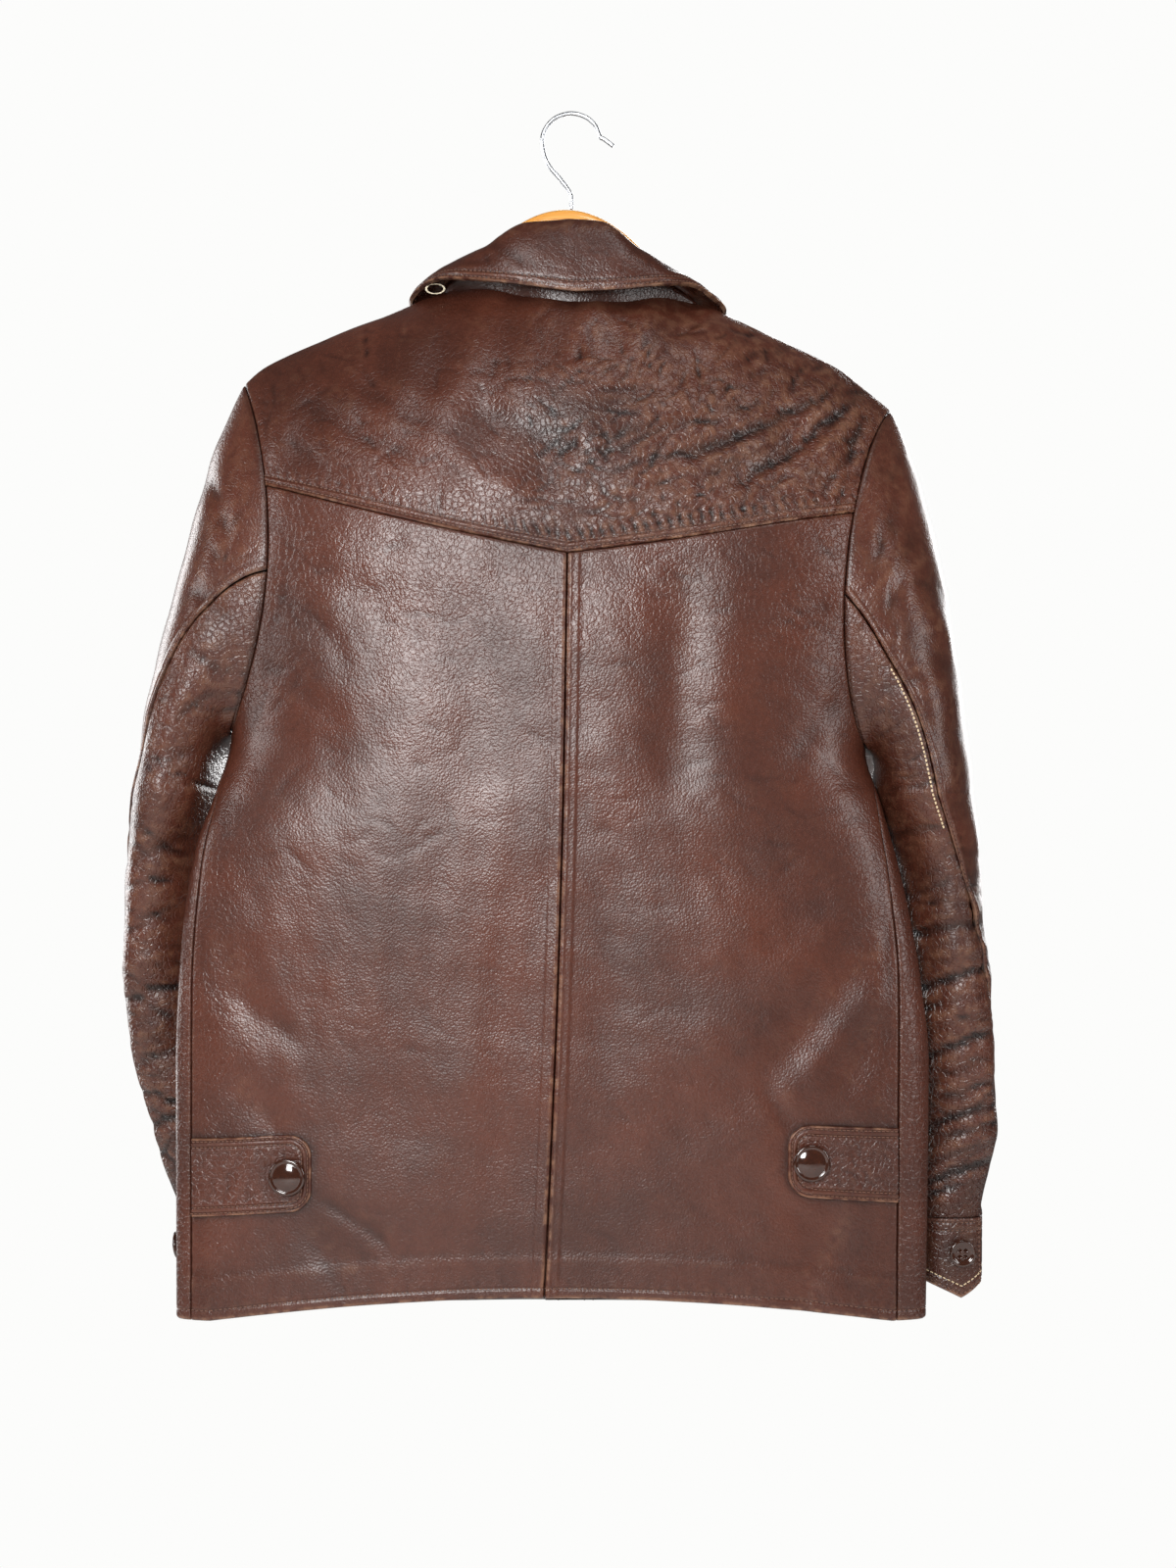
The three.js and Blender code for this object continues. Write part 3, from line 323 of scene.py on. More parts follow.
# Meshes. Faces are arrays of quads and triangles, turned so that the closed shape's volume is
# positive, which makes them point out.
def meshObject(name, points, faceSets, material, uv=None, fields=None, sharp=50):
    triangles = np.concatenate([f[:, [0, i, i + 1]] for f in faceSets for i in range(1, f.shape[1] - 1)])
    a, b, c = (points[triangles[:, i]] for i in range(3))
    if (a * np.cross(b, c)).sum() < 0:
        faceSets = [f[:, ::-1] for f in faceSets]
    corners = np.concatenate([f.ravel() for f in faceSets]).astype(np.int32)
    sizes = np.concatenate([np.full(len(f), f.shape[1]) for f in faceSets])
    starts = np.concatenate([[0], np.cumsum(sizes)[:-1]]).astype(np.int32)
    mesh = bpy.data.meshes.new(name)
    mesh.vertices.add(len(points))
    mesh.vertices.foreach_set("co", (points * 0.001).astype(np.float32).ravel())
    mesh.loops.add(len(corners))
    mesh.loops.foreach_set("vertex_index", corners)
    mesh.polygons.add(len(sizes))
    mesh.polygons.foreach_set("loop_start", starts)
    mesh.polygons.foreach_set("use_smooth", np.ones(len(sizes), bool))
    mesh.update(calc_edges=True)
    mesh.validate()
    if uv is not None:
        used = np.empty(len(mesh.loops), np.int32)
        mesh.loops.foreach_get("vertex_index", used)
        layer = mesh.uv_layers.new(name="cut")
        layer.data.foreach_set("uv", (uv[used] * 0.001).astype(np.float32).ravel())
    for field, values in (fields or {}).items():
        mesh.attributes.new(field, "FLOAT", "POINT").data.foreach_set("value", values.astype(np.float32))
    mesh.set_sharp_from_angle(angle=math.radians(sharp))
    mesh.materials.append(material)
    piece = bpy.data.objects.new(name, mesh)
    bpy.context.scene.collection.objects.link(piece)
    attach(piece, "root")
    return piece


# A closed wall between a grid of outer points and the matching grid of inner points: both faces
# of the grid and a strip of quads round its border.
def wallFaces(rows, columns):
    number = np.arange(rows * columns).reshape(rows, columns)
    front = np.stack([number[:-1, :-1], number[1:, :-1], number[1:, 1:], number[:-1, 1:]], -1)
    front = front.reshape(-1, 4)
    ring = np.concatenate([number[0, :-1], number[:-1, -1], number[-1, :0:-1], number[:0:-1, 0]])
    following = np.roll(ring, -1)
    count = rows * columns
    border = np.stack([ring, following, following + count, ring + count], -1)
    return np.concatenate([front, front[:, ::-1] + count, border])


# A panel: its grid of points, their normals, turned to agree with a guide direction, and the
# distances along the leather from each of its four edges.
def panelOf(points, guide):
    normal = unit(np.cross(np.gradient(points, axis=1), np.gradient(points, axis=0)))
    normal *= np.sign((normal * guide).sum())
    across, down = arcs(points, 1), arcs(points, 0)
    return {
        "points": points, "normal": normal, "x": points[..., 0], "drop": -points[..., 2],
        "fromStart": across, "fromEnd": across[:, -1:] - across,
        "fromTop": down, "fromFoot": down[-1:] - down,
    }


# How far a relief lies below the mean of its neighbourhood, a few grid steps wide.
def hollows(relief, steps=2):
    mean = relief
    for axis in (0, 1):
        padded = np.pad(mean, [(steps, steps) if a == axis else (0, 0) for a in (0, 1)], mode="edge")
        mean = sum(np.roll(padded, -k, axis) for k in range(2 * steps + 1)) / (2 * steps + 1)
        mean = mean[:relief.shape[0], :relief.shape[1]]
    return mean - relief


# The leather piece of a panel: its points moved out along the normals by a relief, and a wall of
# one thickness behind them.
def leatherPiece(name, node, panel, relief, thickness, crinkle=0.25, wear=0.0, paintedShade=0.0):
    # Painted shade: the colour darkens in the relief's hollows, on top of the painted shade passed in, and ridges get
    # a little rubbed tan
    hollow = hollows(relief)
    paintedShade = np.clip(paintedShade + leatherLook["hollowShade"] * hollow, 0, 0.92)
    wear = np.clip(wear + leatherLook["ridgeWear"] * np.clip(-hollow, 0, 0.5), 0, 1)
    outer = panel["points"] + panel["normal"] * relief[..., None]
    inner = outer - panel["normal"] * thickness
    rows, columns = outer.shape[:2]
    points = np.concatenate([outer.reshape(-1, 3), inner.reshape(-1, 3)])
    both = lambda values: np.tile(np.broadcast_to(values, (rows, columns)).ravel(), 2)
    uv = np.stack([both(panel["fromStart"]), both(panel["fromTop"])], -1)
    fields = {"crinkle": both(crinkle), "wear": both(wear), "paintedShade": both(paintedShade)}
    piece = meshObject(name, points, [wallFaces(rows, columns)], leatherSkin, uv, fields)
    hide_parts(node)
    edges = np.diff(outer, axis=0)[:, :-1], np.diff(outer, axis=1)[:-1]
    area = np.linalg.norm(np.cross(*edges), axis=-1).sum() * 1e-6
    width = float(panel["fromStart"][:, -1].max() / 1000)
    length = float(max(panel["fromTop"][-1].max() / 1000, area / width))
    area = max(area, 0.31 * width * length)
    panel["outer"] = outer
    return piece


# Where the panel's distance from an edge passes a value, on every line of the grid that runs
# away from that edge: two grid points and the share between them.
def lineOnPanel(panel, edge, distance):
    axis = 0 if edge in ("fromTop", "fromFoot") else 1
    field, spots, normals = panel[edge], panel["outer"], panel["normal"]
    if axis == 1:
        field, spots, normals = field.T, spots.swapaxes(0, 1), normals.swapaxes(0, 1)
    if field[0].mean() > field[-1].mean():
        field, spots, normals = field[::-1], spots[::-1], normals[::-1]
    i = np.clip((field < distance).sum(0), 1, len(field) - 1)
    j = np.arange(field.shape[1])
    low, high = field[i - 1, j], field[i, j]
    t = np.clip((distance - low) / np.maximum(high - low, 1e-6), 0, 1)[:, None]
    return mix(spots[i - 1, j], spots[i, j], t), unit(mix(normals[i - 1, j], normals[i, j], t))


stitchRows = {"brown": [], "tan": []}


# A row of stitches along a line: even steps of the pitch by arc length.
def sewRow(line, normals, pitch=3.2, thread="brown", size=0.42, length=2.5):
    along = np.concatenate([[0], np.cumsum(np.linalg.norm(np.diff(line, axis=0), axis=1))])
    centres = np.arange(pitch / 2, along[-1], pitch)
    at = lambda places, values: np.stack([np.interp(places, along, values[:, i]) for i in range(3)], -1)
    heading = unit(at(centres + 0.6, line) - at(centres - 0.6, line))
    stitchRows[thread].append((at(centres, line), heading, unit(at(centres, normals)),
                               np.full(len(centres), size), np.full(len(centres), length)))


# Stitches: six-sided spindles whose ends dip into the leather.
def stitchMesh(name, rows, material):
    centre, heading, normal, size, length = (np.concatenate(part) for part in zip(*rows))
    side = unit(np.cross(normal, heading))
    rise = unit(np.cross(heading, side))
    station = np.array([-0.5, -0.36, 0.36, 0.5])
    girth = np.array([0.35, 1.0, 1.0, 0.35])
    lift = np.array([-0.9, 0.15, 0.15, -0.9])
    turn = np.arange(6) * math.pi / 3
    spine = centre[:, None] + heading[:, None] * (station * length[:, None])[..., None]
    spine = spine + rise[:, None] * (lift * size[:, None])[..., None]
    circle = side[:, None] * np.cos(turn)[:, None] + rise[:, None] * np.sin(turn)[:, None]
    points = spine[:, :, None] + circle[:, None] * (girth * size[:, None])[:, :, None, None]
    ring = np.arange(6)
    band = np.stack([ring, (ring + 1) % 6, (ring + 1) % 6 + 6, ring + 6], -1)
    caps = np.array([[3, 2, 1, 0], [5, 4, 3, 0], [18, 19, 20, 21], [18, 21, 22, 23]])
    one = np.concatenate([band, band + 6, band + 12, caps])
    faces = (one + 24 * np.arange(len(centre))[:, None, None]).reshape(-1, 4)
    piece = meshObject(name, points.reshape(-1, 3), [faces], material)
    print(name, "stitches:", len(centre))
    return piece


# The trunk: a flattened tube whose level sections are ovals of the third power, closing into the
# shoulder line at its top.
trunk = {
    "leftEdge": curveThrough([[180, -237], [430, -234], [470, -243], [505, -254], [570, -264],
                              [650, -268], [830, -268]]),
    "rightEdge": curveThrough([[180, 234], [300, 222], [440, 203], [480, 213], [540, 228], [600, 238],
                               [650, 243], [830, 241]]),
    "leftEdgeY": curveThrough([[180, 0], [430, -6], [470, -25], [505, -42], [570, -44], [830, -40]]),
    "rightEdgeY": curveThrough([[180, 0], [440, -6], [480, -22], [540, -34], [600, -40], [830, -40]]),
    "backY": curveThrough([[100, -74], [300, -76], [450, -74], [650, -70], [830, -66]]),
    "frontY": curveThrough([[100, 46], [330, 46], [500, 26], [650, 10], [830, 4]]),
    "shoulderDrop": curveThrough([[-227, 187], [-213, 175], [-177, 158], [-128, 139], [-92, 124],
                                  [-5, 100], [92, 132], [147, 157], [184, 175], [205, 191], [222, 206]]),
    "shoulderReach": 165,
    "leather": 1.8,
    "seamGap": 0.3,
    "folds": [
        (78, 318, 70, 470, 17, 5, 0), (218, 556, 128, 660, 15, 4.5, 0), (208, 620, 180, 672, 12, 3, 0),
        (186, 752, 150, 822, 13, 4, 0), (-228, 662, -190, 700, 13, 3, 0), (-178, 756, -140, 800, 12, 2.5, 0),
        (196, 206, 92, 262, 10, 3, 0), (178, 232, 112, 284, 9, 2.5, 0), (-72, 206, -2, 262, 18, 3.5, 0),
        (-238, 560, -205, 640, 16, 3, 0),
    ],
}
shoulderDrop = trunk["shoulderDrop"]
leather, seamGap = trunk["leather"], trunk["seamGap"]


def middleX(drop):
    return (trunk["leftEdge"](drop) + trunk["rightEdge"](drop)) / 2


def halfWidth(drop):
    return (trunk["rightEdge"](drop) - trunk["leftEdge"](drop)) / 2


# Depth share at a height below the shoulder line: a round start over the shoulder's reach.
def shoulderShare(below):
    t = np.clip(below / trunk["shoulderReach"], 0, 1)
    return (1 - (1 - t) ** 2) ** 0.7


# Point at an angle round the trunk: x goes with the two-thirds power of the sine and depth with
# that of the cosine; 0 is the centre back and a quarter turn the right edge.
def trunkAround(angle, drop):
    sine, cosine = np.sin(angle), np.cos(angle)
    x = middleX(drop) + halfWidth(drop) * np.sign(sine) * np.abs(sine) ** (2 / 3)
    depthShare = np.abs(cosine) ** (2 / 3)
    edgeY = np.where(sine < 0, trunk["leftEdgeY"](drop), trunk["rightEdgeY"](drop))
    faceY = np.where(cosine > 0, trunk["backY"](drop), trunk["frontY"](drop))
    folds = creaseField(x, drop, trunk["folds"]) * share(depthShare, 0.2, 0.7) * (cosine > 0)
    rise = shoulderShare(drop - shoulderDrop(x))
    return stack(x, mix(edgeY, faceY, depthShare) * rise + folds * share(rise, 0.3, 0.8), -drop)


def trunkNormal(angle, drop):
    around = trunkAround(angle + 1e-3, drop) - trunkAround(angle - 1e-3, drop)
    down = trunkAround(angle, drop + 0.02) - trunkAround(angle, drop - 0.02)
    normal = unit(np.cross(around, down))
    outwards = stack(np.sin(angle), -np.cos(angle), 0.05)
    return normal * np.sign((normal * outwards).sum(-1, keepdims=True))


def backAngle(x, drop):
    k = np.clip((x - middleX(drop)) / halfWidth(drop), -1, 1)
    return np.sign(k) * np.arcsin(np.abs(k) ** 1.5)


def frontAngle(x, drop, side):
    return side * math.pi - backAngle(x, drop)


# Armholes: loops on the trunk from the shoulder point (turn 0) down the back to the underarm (a
# half turn); minus turns run down the front.
armholes = {
    "left": {"side": -1, "shoulder": (-226.5, 187), "underarm": (-234, 430), "inset": 25, "power": 2},
    "right": {"side": 1, "shoulder": (221, 205.5), "underarm": (203, 440), "inset": 26, "power": 1.5},
}


def armholePlace(arm, turn):
    down = (1 - np.cos(turn)) / 2
    inset = arm["inset"] * np.abs(np.sin(turn)) ** arm["power"]
    x = mix(arm["shoulder"][0], arm["underarm"][0], down) - arm["side"] * inset
    return x, mix(arm["shoulder"][1], arm["underarm"][1], down)


def armholeAngle(arm, turn):
    x, drop = armholePlace(arm, turn)
    angle = np.where(np.sin(turn) >= 0, backAngle(x, drop), frontAngle(x, drop, arm["side"]))
    return angle, drop


def armholeBelow(arm, turn):
    x, drop = armholePlace(arm, turn)
    return np.maximum(0, drop - shoulderDrop(x))


# Neckline: x goes with the sine of the turn from the centre back, and it drops below the shoulder
# line with the cosine's fourth power at the back and its square at the front.
neck = {"halfWidth": 92, "frontEase": 6, "dropBack": 35, "dropFront": 92, "seamBelow": 8.5}
neckCornerTurn = math.pi - math.acos(math.sqrt(neck["seamBelow"] / neck["dropFront"]))


def neckPlace(turn):
    cosine = np.cos(turn)
    x = (neck["halfWidth"] + neck["frontEase"] * share(-cosine, 0, 0.3)) * np.sin(turn)
    below = np.where(cosine < 0, neck["dropFront"] * cosine**2, neck["dropBack"] * cosine**4)
    return x, shoulderDrop(x) + below


yoke = {
    "point": (-2.2, 309),
    "leftSeam": curveThrough([[-207, 261], [-143, 278], [-81, 293], [-2.2, 309]]),
    "rightSeam": curveThrough([[-2.2, 309], [70, 299.5], [146, 287], [189, 280]]),
    "stitchRows": (2.6, 7.2),
    "puckerPitch": 7.4,
    "drags": [  # from the right shoulder down towards the middle, then the left one's
        (188, 192, 44, 250, 7, 1.8, 6), (192, 201, 112, 262, 6, 2.0, 4), (200, 216, 168, 270, 5, 1.6, 2),
        (186, 196, 78, 252, 4.5, -1.3, 5), (195, 209, 140, 266, 4.5, -1.3, 3), (150, 190, 36, 228, 7, 0.9, 6),
        (196, 232, 180, 276, 4, 1.1, 0), (160, 214, 96, 272, 5, 1.0, 4), (104, 168, 10, 214, 9, 0.8, 4),
        (120, 236, 60, 284, 6, -0.9, 3), (90, 240, 30, 280, 6, 0.8, 3), (-188, 200, -100, 247, 8, 0.8, -3),
        (-168, 178, -74, 226, 8, 0.7, -4), (-196, 224, -150, 262, 6, 0.7, -2), (-60, 214, 16, 250, 11, 1.4, 4),
        (-84, 238, -20, 282, 9, -0.8, 0), (-40, 196, 60, 178, 12, -0.7, 0),
    ],
    "darts": [(-142.2, 152, -139, 175, 0.9, 0.9, 0), (135.2, 160, 132.3, 184, 0.9, 0.9, 0)],
}


def yokeSeam(x):
    return np.where(x < yoke["point"][0], yoke["leftSeam"](x), yoke["rightSeam"](x))


# Where the armhole meets the V seam and the shoulder seam.
fineTurns = np.linspace(0, math.pi / 2, 40001)
for arm in armholes.values():
    x, drop = armholePlace(arm, fineTurns)
    arm["yokeTurn"] = fineTurns[np.flatnonzero(drop < yokeSeam(x))[-1]]
    arm["seamTurn"] = fineTurns[np.flatnonzero(armholeBelow(arm, fineTurns) < neck["seamBelow"])[-1]]


def shoulderSeamX(arm, t):
    corner = arm["side"] * neckPlace(neckCornerTurn)[0]
    return mix(armholePlace(arm, -arm["seamTurn"])[0], corner, t)


# The yoke's four edges as x and reach, the root of the drop below the shoulder line (minus on the
# front side), blended into a Coons patch: both pairs of edges less the corners.
def yokeGrid(u, v):
    left, right = armholes["left"], armholes["right"]
    column = u * 26
    seamReach = -math.sqrt(neck["seamBelow"])
    neckTurn = mix(-neckCornerTurn, neckCornerTurn, np.clip((column - 5) / 16, 0, 1))
    neckX, neckDrop = neckPlace(neckTurn)
    neckReach = np.sqrt(np.maximum(0, neckDrop - shoulderDrop(neckX)))
    neckReach = np.where(np.cos(neckTurn) < 0, -neckReach, neckReach)
    topX = np.where(column < 5, shoulderSeamX(left, column / 5),
                    np.where(column > 21, shoulderSeamX(right, (26 - column) / 5), neckX))
    topReach = np.where((column < 5) | (column > 21), seamReach, neckReach)
    t = column / 13 - 1
    leftEnd, rightEnd = (armholePlace(arm, arm["yokeTurn"])[0] for arm in (left, right))
    endX = np.where(t < 0, leftEnd, rightEnd)
    footX = mix(yoke["point"][0], endX, np.abs(t))
    footReach = np.sqrt(yokeSeam(footX) - seamGap / 2 - shoulderDrop(footX))
    sides = []
    for arm in (left, right):
        turn = mix(-arm["seamTurn"], arm["yokeTurn"], v)
        sides.append((armholePlace(arm, turn)[0], np.sign(turn) * np.sqrt(armholeBelow(arm, turn))))

    def patch(top, foot, start, end):
        corners = mix(mix(top[0], top[-1], u), mix(foot[0], foot[-1], u), v)
        return mix(top, foot, v) + mix(start, end, u) - corners

    x = patch(topX, footX, sides[0][0], sides[1][0])
    reach = patch(topReach, footReach, sides[0][1], sides[1][1])
    drop = shoulderDrop(x) + reach**2
    angle = np.where(reach < 0, frontAngle(x, drop, np.sign(x)), backAngle(x, drop))
    return trunkAround(angle, drop)


def makeYoke():
    u, v = places(430, 2.1), places(165, 2.0, (4.5, 24), 0.8)
    panel = panelOf(yokeGrid(u, v[:, None]), (0, -1, 0.3))
    x, drop, foot, along = panel["x"], panel["drop"], panel["fromFoot"], panel["fromStart"]
    backside = share(-panel["normal"][..., 1], 0.0, 0.4)
    rightHalf = share(x, -60, 60)
    first, second = yoke["stitchRows"]
    small = np.concatenate([
        scatteredCreases(3, 190, (-30, 150, 205, 292), 152, 26, (9, 34), (1.2, 2.6), (0.3, 0.95)),
        scatteredCreases(4, 150, (-30, 170, 205, 295), 60, 40, (6, 18), (1.0, 1.9), (0.25, 0.7)),
        scatteredCreases(5, 110, (-215, 150, -20, 290), 20, 45, (8, 24), (1.1, 2.4), (0.15, 0.5)),
    ])
    relief = -1.5 * creaseField(x, drop, yoke["drags"]) * backside
    relief -= creaseField(x, drop, small) * backside * share(foot, 8, 14)
    relief -= creaseField(x, drop, yoke["darts"])
    relief += 0.7 * slowWaves(11, x, drop, 42) * share(foot, 8, 24) * backside
    # Puckers stand above the upper stitch row, strongest near the middle and to its right
    strength = 0.25 + 0.75 * share(x, -70, -10) * (1 - 0.6 * share(x, 90, 150))
    beat = 0.5 + 0.5 * np.sin(2 * math.pi * along / yoke["puckerPitch"] + 1.1 * slowWaves(12, x, drop, 30))
    relief += strength * 1.9 * (beat**1.6 - 0.35) * hump(foot, second + 4.4, 4.4) * (foot > second)
    # Two welts between the edge and the stitch rows, with a tight ripple from each stitch
    relief += 0.75 * (1 - share(foot, second, second + 1.8))
    relief += stitchGroove(foot, first, 1.0, 1.05) + stitchGroove(foot, second, 1.1, 1.15)
    relief += 0.13 * np.sin(2 * math.pi * along / 3.2) * (1 - share(foot, second, second + 2))
    relief += edgeRoll(foot, 1.1, 1.5) + edgeRoll(along, 1.0, 2.6) + edgeRoll(panel["fromEnd"], 1.0, 2.6)
    crinkle = 0.14 + 0.4 * rightHalf * share(drop, 150, 230) + 0.1 * (1 - rightHalf)
    wear = 0.55 * hump(foot, 0, 1.2) + 0.1 * rightHalf
    # Painted shade: a band under the collar along the top edge and strips along both armhole ends; a darker patch lies
    # at the middle of the yoke
    paintedShade = 0.5 * hump(x, 0, 60) * hump(drop, 226, 30) * backside
    paintedShade += 0.6 * hump(panel["fromTop"], 0, 9) * share(drop, 100, 140)
    paintedShade += 0.4 * hump(along, 0, 2) + 0.4 * hump(panel["fromEnd"], 0, 2)
    leatherPiece("backYoke", "back_yoke", panel, relief, leather, crinkle, wear, paintedShade)
    for row in (first, second):
        sewRow(*lineOnPanel(panel, "fromFoot", row))
    return panel


makeYoke()
print("yoke made")


tabs = {
    "thickness": 2.6, "lift": 0.6, "corner": 15, "button": 25, "buttonGap": 0.35, "stitchRows": (2.4, 6.4),
    "left": {"seamX": -254.6, "freeX": -173.9, "seamDrops": (702.5, 755.8), "freeDrops": (698.6, 750.5),
             "button": (-189.7, 727)},
    "right": {"seamX": 219.6, "freeX": 145.7, "seamDrops": (695.3, 745.9), "freeDrops": (692, 740.6),
              "button": (160.8, 717.5)},
}


# Distance outside a tab's outline, a box with rounded free corners; minus inside it.
def outsideTab(name, x, drop):
    tab, corner = tabs[name], tabs["corner"]
    t = np.clip((x - tab["seamX"]) / (tab["freeX"] - tab["seamX"]), 0, 1)
    top, foot = (mix(tab["seamDrops"][i], tab["freeDrops"][i], t) for i in (0, 1))
    beyond = (x - tab["freeX"]) * np.sign(tab["freeX"] - tab["seamX"]) + corner
    above = np.abs(drop - (top + foot) / 2) - (foot - top) / 2 + corner
    inside = np.minimum(np.maximum(beyond, above), 0)
    return np.hypot(np.maximum(beyond, 0), np.maximum(above, 0)) + inside - corner


backs = {
    "hemDrop": 826,
    "hemRise": 17,
    "hemStitch": 7.0,
    "foldEase": 0.6,
    "centreSeam": curveThrough([[300, -2.2], [470, -4.8], [620, -9], [720, -13], [830, -18]]),
    "sideSeam": {
        "left": curveThrough([[430, -234], [470, -240.5], [520, -250], [600, -256], [830, -257]]),
        "right": curveThrough([[440, 203], [480, 209], [540, 217], [600, 221.5], [830, 220]]),
    },
    "creases": [  # soft ridges and troughs beside the main folds, then small ones at the armholes and tabs
        (112, 320, 100, 480, 26, -0.9, 0), (30, 330, 30, 460, 26, -0.8, 0), (216, 590, 140, 678, 12, -0.8, 3),
        (205, 528, 120, 610, 16, -0.7, 4), (190, 742, 160, 818, 10, -0.6, 0), (120, 640, 60, 720, 24, 0.8, 0),
        (-205, 330, -150, 380, 10, 1.0, 4), (-215, 380, -160, 420, 8, 0.7, 4), (-200, 300, -120, 350, 14, 0.8, 0),
        (185, 330, 130, 380, 12, 0.9, -3), (192, 400, 150, 450, 8, 0.9, -3), (-150, 400, -130, 560, 26, -0.9, 8),
        (-60, 330, -70, 480, 24, 0.8, 0), (30, 500, 24, 680, 18, 0.7, 0), (-40, 520, -44, 700, 20, 0.7, 0),
        (-120, 560, -110, 720, 24, 0.8, 0), (-170, 742, -120, 776, 5, 0.8, 2), (-176, 768, -150, 812, 6, 0.7, 0),
        (-240, 600, -180, 640, 9, 0.8, 3), (150, 700, 128, 664, 7, 0.7, 0), (100, 560, 90, 700, 22, -0.8, 0),
    ],
}


def hemAt(x, rise):
    middle, half = middleX(backs["hemDrop"]), halfWidth(backs["hemDrop"])
    k = np.minimum(1, np.abs(x - middle) / (half - 24))
    return backs["hemDrop"] - rise * (1 - k * k)


# The x at which a row of panel ends: on the armhole above the underarm, on the side seam below.
def outerEndX(name, drop):
    arm = armholes[name]
    top, low = arm["shoulder"][1], arm["underarm"][1]
    turn = np.arccos(np.clip(1 - 2 * (drop - top) / (low - top), -1, 1))
    return np.where(drop < low, armholePlace(arm, turn)[0], backs["sideSeam"][name](drop))


# A back panel: x is mixed from the outer end to the centre seam, the drop from the V seam to the
# hem, and the point lies on the trunk's back at that x and drop.
def makeBack(name):
    arm = armholes[name]
    side = arm["side"]
    u, v = places(225, 2.6, (5, 11), 0.75), places(535, 2.7, (6, 10), 0.8)[:, None]
    startDrop = armholePlace(arm, arm["yokeTurn"])[1]
    endDrop = mix(startDrop, backs["hemDrop"], v)
    innerX = backs["centreSeam"](mix(yoke["point"][1], backs["hemDrop"], v)) + side * seamGap / 2
    x = mix(outerEndX(name, endDrop), innerX, u)
    drop = mix(yokeSeam(x) + seamGap / 2, hemAt(x, backs["hemRise"]), v)
    angle = backAngle(x, drop)
    pace = np.linalg.norm(trunkAround(angle + 1e-3, drop) - trunkAround(angle - 1e-3, drop), axis=-1) / 2e-3
    angle = angle - side * (1 - u) ** 12 * 0.225 / pace
    panel = panelOf(trunkAround(angle, drop), (0, -1, 0))
    top, foot, centre, outer = (panel[k] for k in ("fromTop", "fromFoot", "fromEnd", "fromStart"))
    low, high = min(innerX.min(), x.min()), max(innerX.max(), x.max())
    nearArmhole = (low, 300, low + 70, 460) if side < 0 else (high - 60, 300, high, 480)
    small = np.concatenate([
        scatteredCreases(21 + side, 90, (low, 300, high, 520), 8, 35, (10, 34), (1.2, 2.8), (0.1, 0.34)),
        scatteredCreases(31 + side, 70, (low, 520, high, 815), 0, 50, (8, 26), (1.2, 2.6), (0.06, 0.22)),
        scatteredCreases(41 + side, 26, nearArmhole, 40 * side, 20, (16, 46), (1.6, 3.2), (0.15, 0.4)),
    ])
    inside = share(outer, 3, 16)
    relief = -creaseField(panel["x"], panel["drop"], backs["creases"]) * inside
    relief += backs["foldEase"] * creaseField(panel["x"], panel["drop"], trunk["folds"]) * inside
    relief -= creaseField(panel["x"], panel["drop"], small) * inside
    relief += 0.4 * slowWaves(51 + side, panel["x"], panel["drop"], 95) * inside
    relief += 0.1 * slowWaves(61 + side, panel["x"], panel["drop"], 24)
    # Centre seam: the allowances lift a strip on each side and the edges roll into the groove
    relief += 0.4 * (1 - share(centre, 7.5, 9.5)) + 0.25 * hump(centre, 2.4, 1.2)
    relief += edgeRoll(centre, 1.5, 2.2)
    # Hem: a flattened fold under one stitch row, its lower edge rounded
    relief += 0.45 * (1 - share(foot, 26, 31)) + 0.3 * (1 - share(foot, 6, 8))
    relief += stitchGroove(foot, backs["hemStitch"], 0.6) + edgeRoll(foot, 1.6, 2.4)
    ripple = np.sin(2 * math.pi * outer / 9 + slowWaves(71, panel["x"], drop, 30))
    relief += 0.14 * ripple * hump(foot, 9, 4)
    relief += edgeRoll(top, 1.3, 3.2) + edgeRoll(outer, 1.1, 2.6)
    crinkle = 0.06 + 0.1 * (1 - share(panel["drop"], 320, 480)) + 0.12 * (1 - share(outer, 10, 50))
    wear = 0.5 * hump(foot, 0, 1.8) + 0.3 * hump(centre, 1.6, 1.2)
    # Painted shade: a shadow round the tab's outline, and darker strips along the yoke seam, the armhole and side
    # seam, and the centre seam's groove
    paintedShade = 0.6 * np.exp(-np.maximum(0, outsideTab(name, panel["x"], panel["drop"])) / 2.4)
    paintedShade += 0.5 * hump(top, 0, 2.5) + 0.45 * hump(outer, 0, 2.0) + 0.5 * hump(centre, 0, 1.1)
    piece = "back" + name.capitalize()
    leatherPiece(piece, "back_" + name, panel, relief, leather, crinkle, wear, paintedShade)
    sewRow(*lineOnPanel(panel, "fromFoot", backs["hemStitch"]), pitch=3.4)
    return panel


backPanels = {name: makeBack(name) for name in armholes}
print("backs made")


fronts = {"lap": 18, "lapLift": 2.4, "lapRamp": (-75, -30), "hemRise": 4, "stitchRows": (3.0, 9.0)}


def lapAt(x):
    return fronts["lapLift"] * share(x, *fronts["lapRamp"])


# Angles at shares of the arc length along levels of the trunk, by inverting the summed chords.
def alongLevel(start, stop, level, place):
    angles = mix(start, stop, np.linspace(0, 1, 161))
    lengths = arcs(trunkAround(angles, np.broadcast_to(level, angles.shape)), 1)
    target = place * lengths[:, -1:]
    i = np.clip((lengths[:, None, :] < target[:, :, None]).sum(-1), 1, 160)
    pick = lambda values, at: np.take_along_axis(values, at, 1)
    part = (target - pick(lengths, i - 1)) / (pick(lengths, i) - pick(lengths, i - 1))
    return mix(pick(angles, i - 1), pick(angles, i), part)


